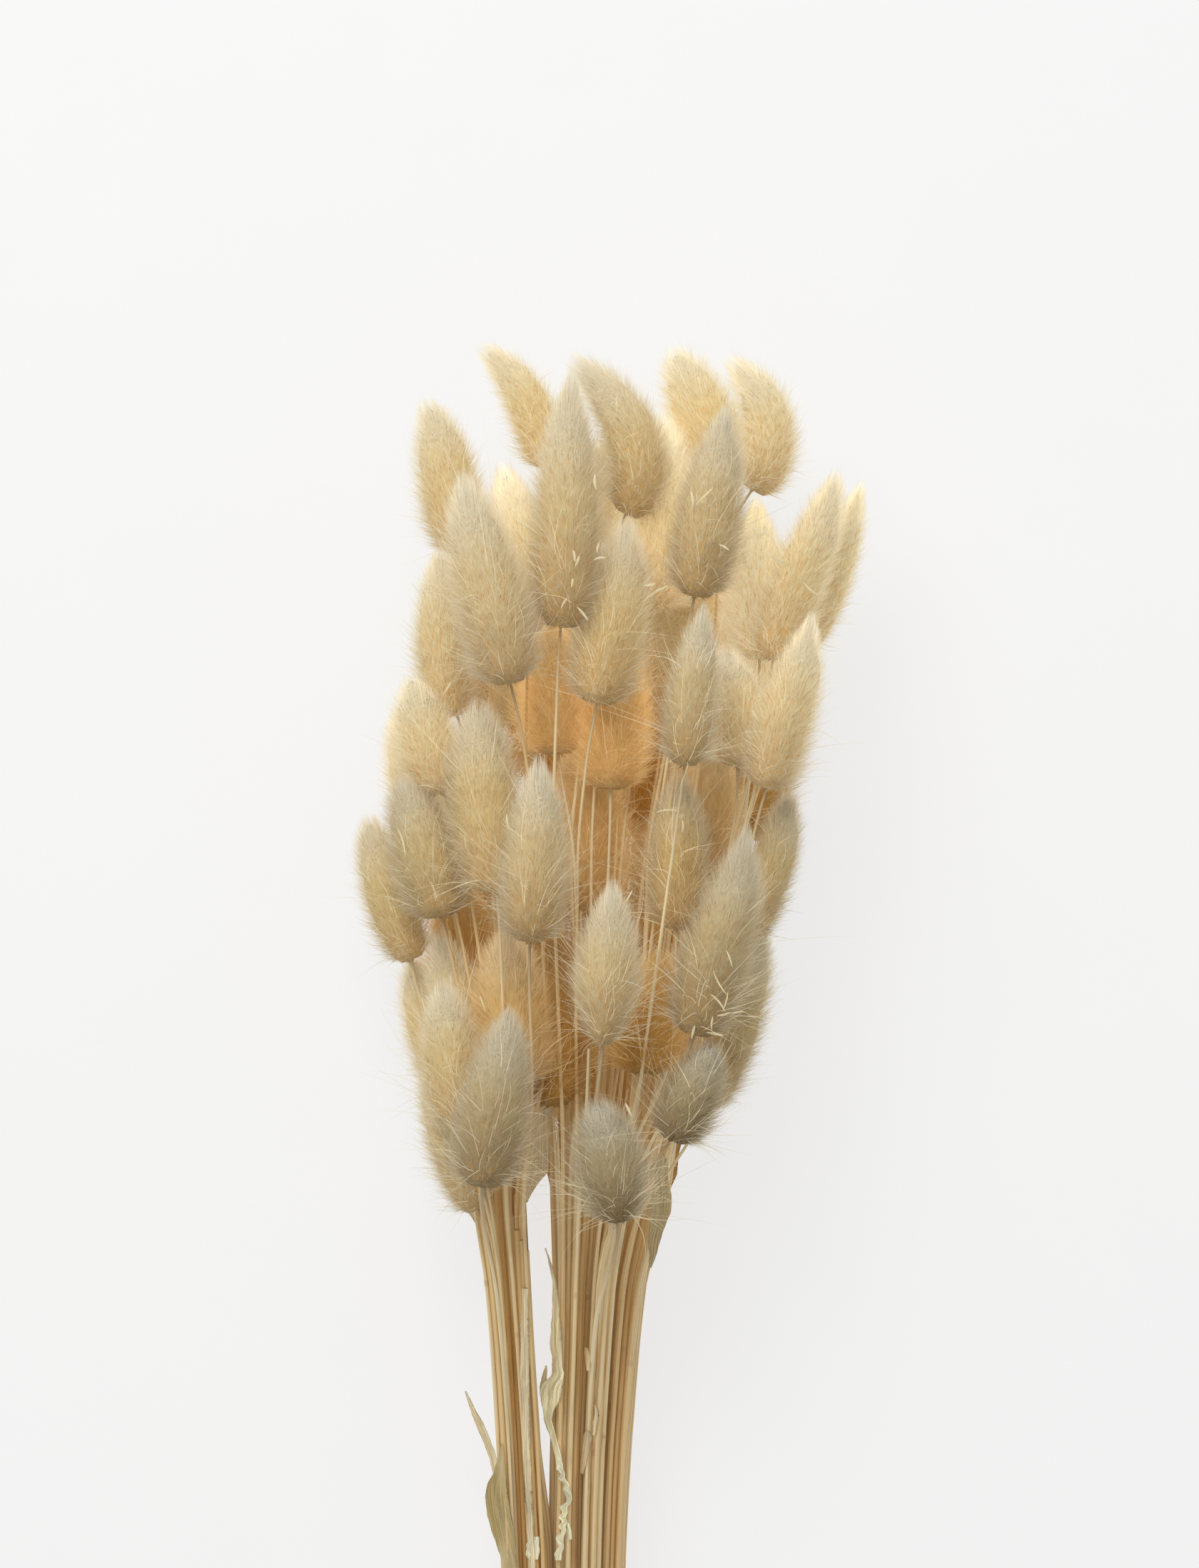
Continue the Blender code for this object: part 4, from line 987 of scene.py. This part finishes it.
MIDDLE_LEAF_TOOTH = (
    (-43.6, -18.7, -18.5, 0), (-45.6, -19.4, -18.3, 0.1), (-47.4, -20, -18.4, 0.2),
    (-49, -20.3, -17.4, 0.3), (-51, -20.4, -16.4, 0.3),
)
LEFT_LEAF = (
    (-51.1, -41.6, -41.3, 0), (-56, -40.2, -38.8, 0.3), (-61, -38.3, -36.1, 0.5),
    (-65, -36.6, -34.4, 0.6), (-69, -35, -32.8, 0.6), (-72.4, -34.2, -32.4, 0.5),
    (-75, -33.4, -32.2, 0.4),
)
LEFT_SHEATH = (
    (-65.4, -31.4, -30.9, 0.2), (-70, -32.2, -30.3, 0.5), (-74, -33.4, -30, 0.8),
    (-77, -35, -29.8, 1.1), (-80, -35.7, -29.4, 1.3), (-84, -35.6, -28.8, 1.3),
    (-88, -34.8, -28, 1.2), (-92.4, -33.4, -27.4, 1), (-98.4, -31.4, -26.9, 0.7),
    (-105, -29.8, -26.6, 0.4),
)
RIGHT_LEAF = (
    (17.4, 13, 14.6, 0.2), (14.6, 12.4, 15.6, 0.5), (9.4, 11.6, 15.9, 0.7), (6.6, 11.2, 16.8, 0.8),
    (3, 10.9, 16.9, 0.9), (0.2, 10.7, 16.4, 0.8), (-3.8, 10.6, 14.6, 0.7), (-9.8, 10.6, 13, 0.5),
    (-15, 10.4, 11.2, 0.2),
)
FLAT_STALK = (
    (-20.6, -25.7, -23.6, 0.5), (-40, -25.6, -23.4, 0.5), (-60, -25.2, -23.2, 0.5),
    (-80, -24.4, -22.6, 0.5), (-100, -23, -21.6, 0.5), (-118, -21.4, -20.4, 0.4),
)
SCRAP = (
    (-91.6, -22.6, -20.6, 0.2), (-94, -24, -20.4, 0.3), (-97, -24.4, -20.6, 0.3),
    (-98.2, -23.6, -21, 0.1),
)
GAP_SHEATH = (
    (30, -24.6, -17.6, 0.4), (20, -24.6, -17.6, 0.5), (12, -24.6, -17.8, 0.4), (10.4, -24.6, -18.6, 0.3),
    (9.4, -24.6, -20, 0.3), (7, -24.6, -21.6, 0.2), (2.6, -24.6, -24, 0.1),
)
LOW_SHEATH = (
    (22, -50, -42, 0.4), (16, -48.6, -39, 0.5), (10, -46.4, -37, 0.5), (4, -43.4, -36, 0.4),
    (0, -40.8, -35.8, 0.3), (-4, -38, -35.6, 0.2), (-8.4, -37.6, -36.4, 0.1),
)
BUD = ((-38.2, -7.6, -6.8, 0.1), (-40, -7.5, -6, 0.3), (-42, -7.3, -5.9, 0.3), (-44, -7, -6.3, 0.1))
SCARS = (
    ((-54, -4.8, -4.4, 0.1), (-56.4, -4.7, -3.5, 0.2), (-59, -5.2, -4.1, 0.2), (-62.6, -5.3, -4.7, 0.1)),
    ((-61.6, -7.4, -6.4, 0.1), (-63.4, -8, -5.6, 0.3), (-66, -8.1, -6.2, 0.3), (-74, -8.9, -8.1, 0.1)),
)
CHIP = ((-87.6, -12.6, -12, 0.1), (-90, -12.5, -11.4, 0.2), (-92.4, -12.2, -11.2, 0.1))
SHEATH_LEVEL = (24, 24)  # mm over the ground, where the two upper sheaths lie at their two ends
RIGHT_LEVEL = (41, 48.5)  # the same for the leaf at the right
MIDDLE_CRIMP = ((-98, -71, 0.85, 3.4), (-47, -24, 0.18, 5.2))  # from y to y, depth, pitch, in mm

leaf_skin, wire, shader = new_finish("papery_leaf", {"Specular IOR Level": 0.4})
veins, stains = wire.grain((4.5, 1.0, 0.06)), wire.grain((0.30, 1.0, 0.14), 3.0)
colour = wire.read("tone").ramp((0.0, LEAF_CREAM), (0.5, LEAF_TAN), (1.0, LEAF_OLIVE))
colour = ((stains - 0.54) * 2.4).blend(colour, LEAF_SHADE)
colour = (veins * 2.0 + 0.02).tint(colour, 1.0)
colour = wire.read("dark").blend(colour, LEAF_SHADE)
colour.feed(shader, "Base Color")
(veins * 0.3 + 0.35).feed(shader, "Roughness")
veins.bump(shader, 1.0, 0.0006)
# Painted light: the leaves glow a little, though they are no lamp
light_up(leaf_skin, shader, (veins * 0.6 + 0.7).tint(colour, 1.0), 0.16)
let_through(wire, shader, 0.12, (0.80, 0.70, 0.42))


def stem_tops(x, y):
    """How high the stems stand under each place of a row across the bunch."""
    tops = np.full(x.shape, np.nan)
    for stem, radius, _, _ in shoots:
        if stem[0, 1] < y < stem[-1, 1]:
            columns = (stem[:, 0], stem[:, 2], radius)
            middle, z, thick = (np.interp(y, stem[:, 1], column) for column in columns)
            under = np.sqrt(np.clip((thick + 0.5) ** 2 - (x - middle) ** 2, 0, None))
            tops = np.where(under > 0, np.fmax(tops, z + under - 0.5), tops)
    return tops


def lay_leaf(table, number, tone, crimp=(), lift=0.3, thick=LEAF_THICK, dark=0.0, level=None):
    """A leaf over its table of edges. It follows the stems under it, with folds and crimps."""
    draw = np.random.default_rng(5000 + number)
    rows = np.array(table)[::-1]
    y = np.linspace(rows[0, 0], rows[-1, 0], max(8, int((rows[-1, 0] - rows[0, 0]) / LEAF_STEP)))
    left, right, fold = (
        smoothed(np.interp(y, rows[:, 0], rows[:, k])[:, None], 2)[:, 0] for k in (1, 2, 3)
    )
    u = np.linspace(-1, 1, LEAF_POINTS)[None]
    wave = np.cumsum(draw.normal(0, 0.05, (2, len(y))), axis=1)
    wave -= smoothed(wave.T, 60).T
    left, right = left + wave[0], right + wave[1]
    ripple = np.zeros(len(y))
    for low, high, depth, pitch in crimp:
        inside = np.clip(np.minimum(y - low, high - y) / 2, 0, 1)
        ripple += inside * depth * np.sin(2 * math.pi * y / pitch + 1.5 * np.sin(y / 2.3))
    middle, half = 0.5 * (left + right)[:, None], 0.5 * (right - left)[:, None] * u
    x = middle + half + 0.5 * ripple[:, None] * (1 - 0.4 * u)
    if level is None:
        z = np.array([stem_tops(row, spot) for row, spot in zip(x, y)])
    else:
        z = np.linspace(*level, len(y))[:, None] + 0 * x
    low = STEMS_TOP if np.isnan(z).all() else np.nanpercentile(z, 20)
    z = np.where(np.isnan(z), low, np.clip(z, low - 2, None))
    for _ in range(6):
        z = smoothed(smoothed(z, 2).T, 2).T
    crease = np.abs(u + 0.25 * np.sin(y / 5 + number)[:, None])
    z = z + lift + fold[:, None] * (crease - 0.2) + 0.6 * ripple[:, None] * np.cos(2.2 * u + y[:, None])
    z += 0.10 * np.sin(9 * u + 0.25 * y[:, None])
    grid = np.stack([x, y[:, None] + 0 * u, z], axis=2)
    # Painted shade along the crease of a deep fold, on top of the leaf's own dark places
    shaded = dark + 0.5 * np.exp(-((crease / 0.16) ** 2)) * np.clip(2 * fold - 0.5, 0, 1)[:, None]
    grain_at = y[:, None] + 0 * u + 40 * number
    return sheet(grid, thick, half, grain_at, tone=tone, dark=np.clip(shaded, 0, 1))


leaves = (
    ("grass_leaf_middle", "leaf_middle", [
        lay_leaf(MIDDLE_LEAF, 1, 0.05, MIDDLE_CRIMP, lift=0.8),
        lay_leaf(MIDDLE_LEAF_TOOTH, 2, 0.4, lift=0.7, dark=0.35),
    ]),
    ("grass_leaf_left", "leaf_left", [
        lay_leaf(LEFT_LEAF, 3, 0.35, lift=0.5),
        lay_leaf(LEFT_SHEATH, 4, 1.0, ((-100, -66, 0.12, 7.0),)),
    ]),
    ("grass_leaf_right", "leaf_right", [
        lay_leaf(RIGHT_LEAF, 5, 0.9, ((-12, 16, 0.25, 6.0),), dark=0.25, level=RIGHT_LEVEL),
    ]),
    ("flat_stalk", None, [lay_leaf(FLAT_STALK, 6, 0.4, lift=0.2, thick=0.7, dark=0.1)]),
    ("sheath_scrap", None, [lay_leaf(SCRAP, 7, 0.0, ((-98, -92, 0.3, 3.0),), lift=0.5)]),
    ("sheath_in_gap", None, [lay_leaf(GAP_SHEATH, 9, 0.35, dark=0.15, level=SHEATH_LEVEL)]),
    ("sheath_low", None, [lay_leaf(LOW_SHEATH, 10, 0.3, dark=0.2, level=SHEATH_LEVEL)]),
    ("bud_scars", None, [
        lay_leaf(table, 11 + i, 0.55, lift=0.4, dark=0.1) for i, table in enumerate((BUD, *SCARS))
    ]),
    ("husk_chip", None, [lay_leaf(CHIP, 8, 0.0, lift=0.5)]),
)
for name, node, parts in leaves:
    leaf = join_piece(name, parts, [leaf_skin] * len(parts))
    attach(leaf, "root")
    if node:
        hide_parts(node)

# ---- Loose blades ----------------------------------------------------------------------------
# Flat sheets shaped and coloured like dry leaf blades lie deep in the two sheaves, under the stems.
# They are painted shade: their brown fills the gaps between the stems. They are held by the tie,
# and their tops end between the lower heads.
BLADE_HALF = (1.8, 3.0)  # mm, half the width of a flat dry blade
BLADE_HEIGHT = 0.3  # the height at which a blade lies against that of the stem over it
parts = []
for i, (x, first) in enumerate(crossing[1:-1:2]):
    draw = np.random.default_rng(4500 + i)
    stem = shoots[first][0]
    top = min(stem[-1, 1] + 25, 125) - draw.uniform(0, 40)
    y = np.linspace(-215 + draw.uniform(0, 15), top, 56)[:, None]
    u = np.linspace(-1, 1, 5)[None]
    shape = np.sin(math.pi * np.clip((y - y[0] + 8) / (top - y[0] + 8), 0, 1)) ** 0.35
    half = draw.uniform(*BLADE_HALF) * shape * np.clip((y + 200) / 60, 0.35, 1)
    aside = draw.uniform(-1.5, 1.5) * np.clip((y + 150) / 60, 0, 1)
    x = np.interp(y, stem[:, 1], stem[:, 0]) + aside
    z = BLADE_HEIGHT * np.interp(y, stem[:, 1], stem[:, 2])
    z = np.maximum(z + 0.3 * half * u * np.sin(y / 19 + i) + 0.15 * half * u * u, 0.8)
    sides = LEFT_EDGES if np.interp(GAP_Y, y[:, 0], x[:, 0]) < GAP_X else RIGHT_EDGES
    beyond = np.clip(y - 8, 0, None)
    low, high = (sheaf_edge(y, side) + way * (beyond - 0.4) for side, way in zip(sides, (-1, 1)))
    grid = np.stack([np.clip(x + half * u, low, high), y + 0 * u, z], axis=2)
    grain_at, tone = y + 0 * u + 55 * i, draw.uniform(0.1, 0.5)
    parts.append(sheet(grid, LEAF_THICK, half * u, grain_at, tone=tone, dark=0.15))
loose = join_piece("shade_blades", parts, [straw] * len(parts))
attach(loose, "root")

# ---- Tie -------------------------------------------------------------------------------------
# Three-ply jute twine goes twice round the stems near their cut ends and is knotted on top. Its
# two short ends are left loose, and stray fibres stand out of it.
TWINE_RADIUS = 1.0
TIE_Y = -161.03  # mm, the middle of the two turns
TURNS_AT = (-0.9, 0.9)  # each turn's place along Y, from the tie's middle
PRESSED = 0.57  # how far the twine's underside is pressed flat on the table
PLY_RADIUS, PLY_OFF = 0.50, 0.50  # against the twine's radius
PLY_PITCH = 6.5  # mm along the twine for one twist
FIBRES_PER_MM, FIBRE_WIDTH = 5, 0.07
KNOT = (
    ((-3.2, -1.6, -0.2), (-1.2, -0.8, 1.2), (1.2, 0.8, 1.2), (3.2, 1.6, -0.2)),
    ((-0.6, 2.4, 0.4), (-0.8, 0.4, 1.9), (1.6, -2.2, 1.6), (6.0, -7.5, 1.0), (9.5, -13.0, 0.1)),
    ((0.6, -2.4, 0.5), (0.8, 0.0, 2.0), (-1.8, 2.4, 1.5), (-7.0, 6.0, 0.2), (-10.5, 9.5, -2.0)),
)
JUTE_LIGHT, JUTE_MIDDLE, JUTE_DARK = (0.60, 0.43, 0.24), (0.44, 0.30, 0.15), (0.20, 0.125, 0.06)

jute, wire, shader = new_finish("jute_twine", {})
fibres = wire.grain((6.0, 6.0, 0.35), 3.0)
colour = fibres.ramp((0.30, JUTE_DARK), (0.50, JUTE_MIDDLE), (0.72, JUTE_LIGHT))
(wire.read("tone") * 0.3 + 0.75).tint(colour, 1.0).feed(shader, "Base Color")
(fibres * 0.3 + 0.55).feed(shader, "Roughness")
fibres.bump(shader, 0.8, 0.0003)


def run_of(line):
    """How far it is along a line to each of its points."""
    return np.append(0, np.cumsum(np.linalg.norm(np.diff(line, axis=0), axis=1)))


def even_line(points, step):
    """A smooth line through a few points, with its points a step apart."""
    fine = np.array(points, dtype=float)
    for _ in range(4):
        middle = 0.5 * (fine[1:] + fine[:-1])
        doubled = np.empty((len(fine) + len(middle), 3))
        doubled[::2], doubled[1::2] = fine, middle
        fine = smoothed(doubled, 1)
    run = run_of(fine)
    return between(np.linspace(0, run[-1], max(4, int(run[-1] / step))), run, fine)


def twist(line, radius, start, draw):
    """The three plies of a piece of twine, and the fibres that stand out of them."""
    ahead, side, up = across(line)
    run, parts = run_of(line), []
    for k in range(3):
        turn = 2 * math.pi * (run / PLY_PITCH + k / 3) + start
        off = side * np.cos(turn)[:, None] + up * np.sin(turn)[:, None]
        ply = line + off * PLY_OFF * radius
        thick = PLY_RADIUS * radius * (1 + 0.05 * np.sin(run * 1.7 + k))
        parts.append(tube(ply, thick, 8, run + 300 * k, tone=0.3 + 0.35 * k))
    count = int(run[-1] * FIBRES_PER_MM)
    at = draw.uniform(0, run[-1], count)
    spot, way = between(at, run, line), between(at, run, ahead)
    out = unit(np.cross(way, draw.normal(0, 1, (count, 3))))
    lean = way * draw.choice([-1.0, 1.0], count)[:, None]
    lean = lean + out * draw.uniform(0.4, 1.2, count)[:, None]
    length = draw.uniform(0.8, 2.2, count)[:, None]
    root = spot + out * 0.8 * radius
    tips = root + lean * length * 0.7
    points = np.stack([root, 0.5 * (root + tips) + out * 0.15 * length, tips], axis=1)
    sideways = draw.uniform(-1, 1, count)
    parts.append(blades(points, np.full(count, FIBRE_WIDTH), sideways, out, tone=0.9))
    return parts


low, high = (np.array(corner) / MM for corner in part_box("tie_twine"))
ring = (high[0] - low[0]) / 2 - TWINE_RADIUS
tie_x, tie_z = (high[0] + low[0]) / 2, ring + TWINE_RADIUS - PRESSED
draw = np.random.default_rng(7000)
parts = []
for i, offset in enumerate(TURNS_AT):
    turn = np.linspace(-0.06, 2 * math.pi + 0.06, 190) + math.pi / 2
    loop_y = TIE_Y + offset + 0.25 * np.sin(turn * 2 + i)
    loop = np.column_stack([tie_x + ring * np.cos(turn), loop_y, tie_z + ring * np.sin(turn)])
    parts += twist(loop, TWINE_RADIUS, 2.0 * i, draw)
for i, path in enumerate(KNOT):
    line = even_line(np.array(path) + (tie_x, TIE_Y, tie_z + ring), 0.5)
    parts += twist(line, 0.95 * TWINE_RADIUS, 1.0 + i, draw)
tie = join_piece("twine_tie", parts, [jute] * len(parts))
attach(tie, "root")
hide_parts("tie_twine")

# ---- Floor, light and camera -----------------------------------------------------------------
# A plain pale table top, soft light from above the heads, and a camera that looks straight down.
LOOK_AT = (-3.44, 121.27)  # mm, under the middle of the view
CAMERA_HEIGHT = 2600.0
VIEW_LONG_SIDE = 439.4  # mm of the bunch that the view's long side takes in
SHOWN_LEVEL = 55.0  # mm over the ground, where the view has that size
FLOOR_HALF = 6  # m
LAMP_AT, LAMP_TARGET = (-0.3, 0.85, 0.95), (0, 0.1, 0.05)  # m

floor_mesh = bpy.data.meshes.new("table_top")
corners = [(x * FLOOR_HALF, y * FLOOR_HALF, 0) for x, y in ((-1, -1), (1, -1), (1, 1), (-1, 1))]
floor_mesh.from_pydata(corners, [], [(0, 1, 2, 3)])
floor = add_object("table_top", floor_mesh)
pale_top, wire, shader = new_finish("pale_top", {
    "Roughness": 0.8, "Emission Color": (0.99, 0.995, 1, 1), "Emission Strength": 0.725,
})
speckle = wire.noise(wire.node("TexCoord", {}, out="Object"), 30.0)
(speckle * 0.06 + 0.94).tint((0.22, 0.22, 0.22), 1.0).feed(shader, "Base Color")
pale_top.cycles.emission_sampling = "NONE"
floor_mesh.materials.append(pale_top)

world = bpy.data.worlds.new("soft_room")
bpy.context.scene.world = world
world.use_nodes = True
room = world.node_tree.nodes["Background"].inputs
room["Color"].default_value, room["Strength"].default_value = (1.0, 0.985, 0.955, 1), 0.50

lamp = bpy.data.lights.new("window", "AREA")
lamp.size, lamp.energy, lamp.color = 0.7, 7.5, (1.0, 0.985, 0.96)
window = add_object("window", lamp)
window.location = LAMP_AT
way = Vector(LAMP_TARGET) - Vector(LAMP_AT)
window.rotation_euler = way.to_track_quat("-Z", "Y").to_euler()

lens = bpy.data.cameras.new("camera")
lens.sensor_width = 36.0
lens.lens = lens.sensor_width / 2 * CAMERA_HEIGHT / (VIEW_LONG_SIDE / 2)
camera = add_object("camera", lens)
camera.location = (LOOK_AT[0] * MM, LOOK_AT[1] * MM, (SHOWN_LEVEL + CAMERA_HEIGHT) * MM)
bpy.context.scene.camera = camera
bpy.context.scene.view_settings.view_transform = "Standard"
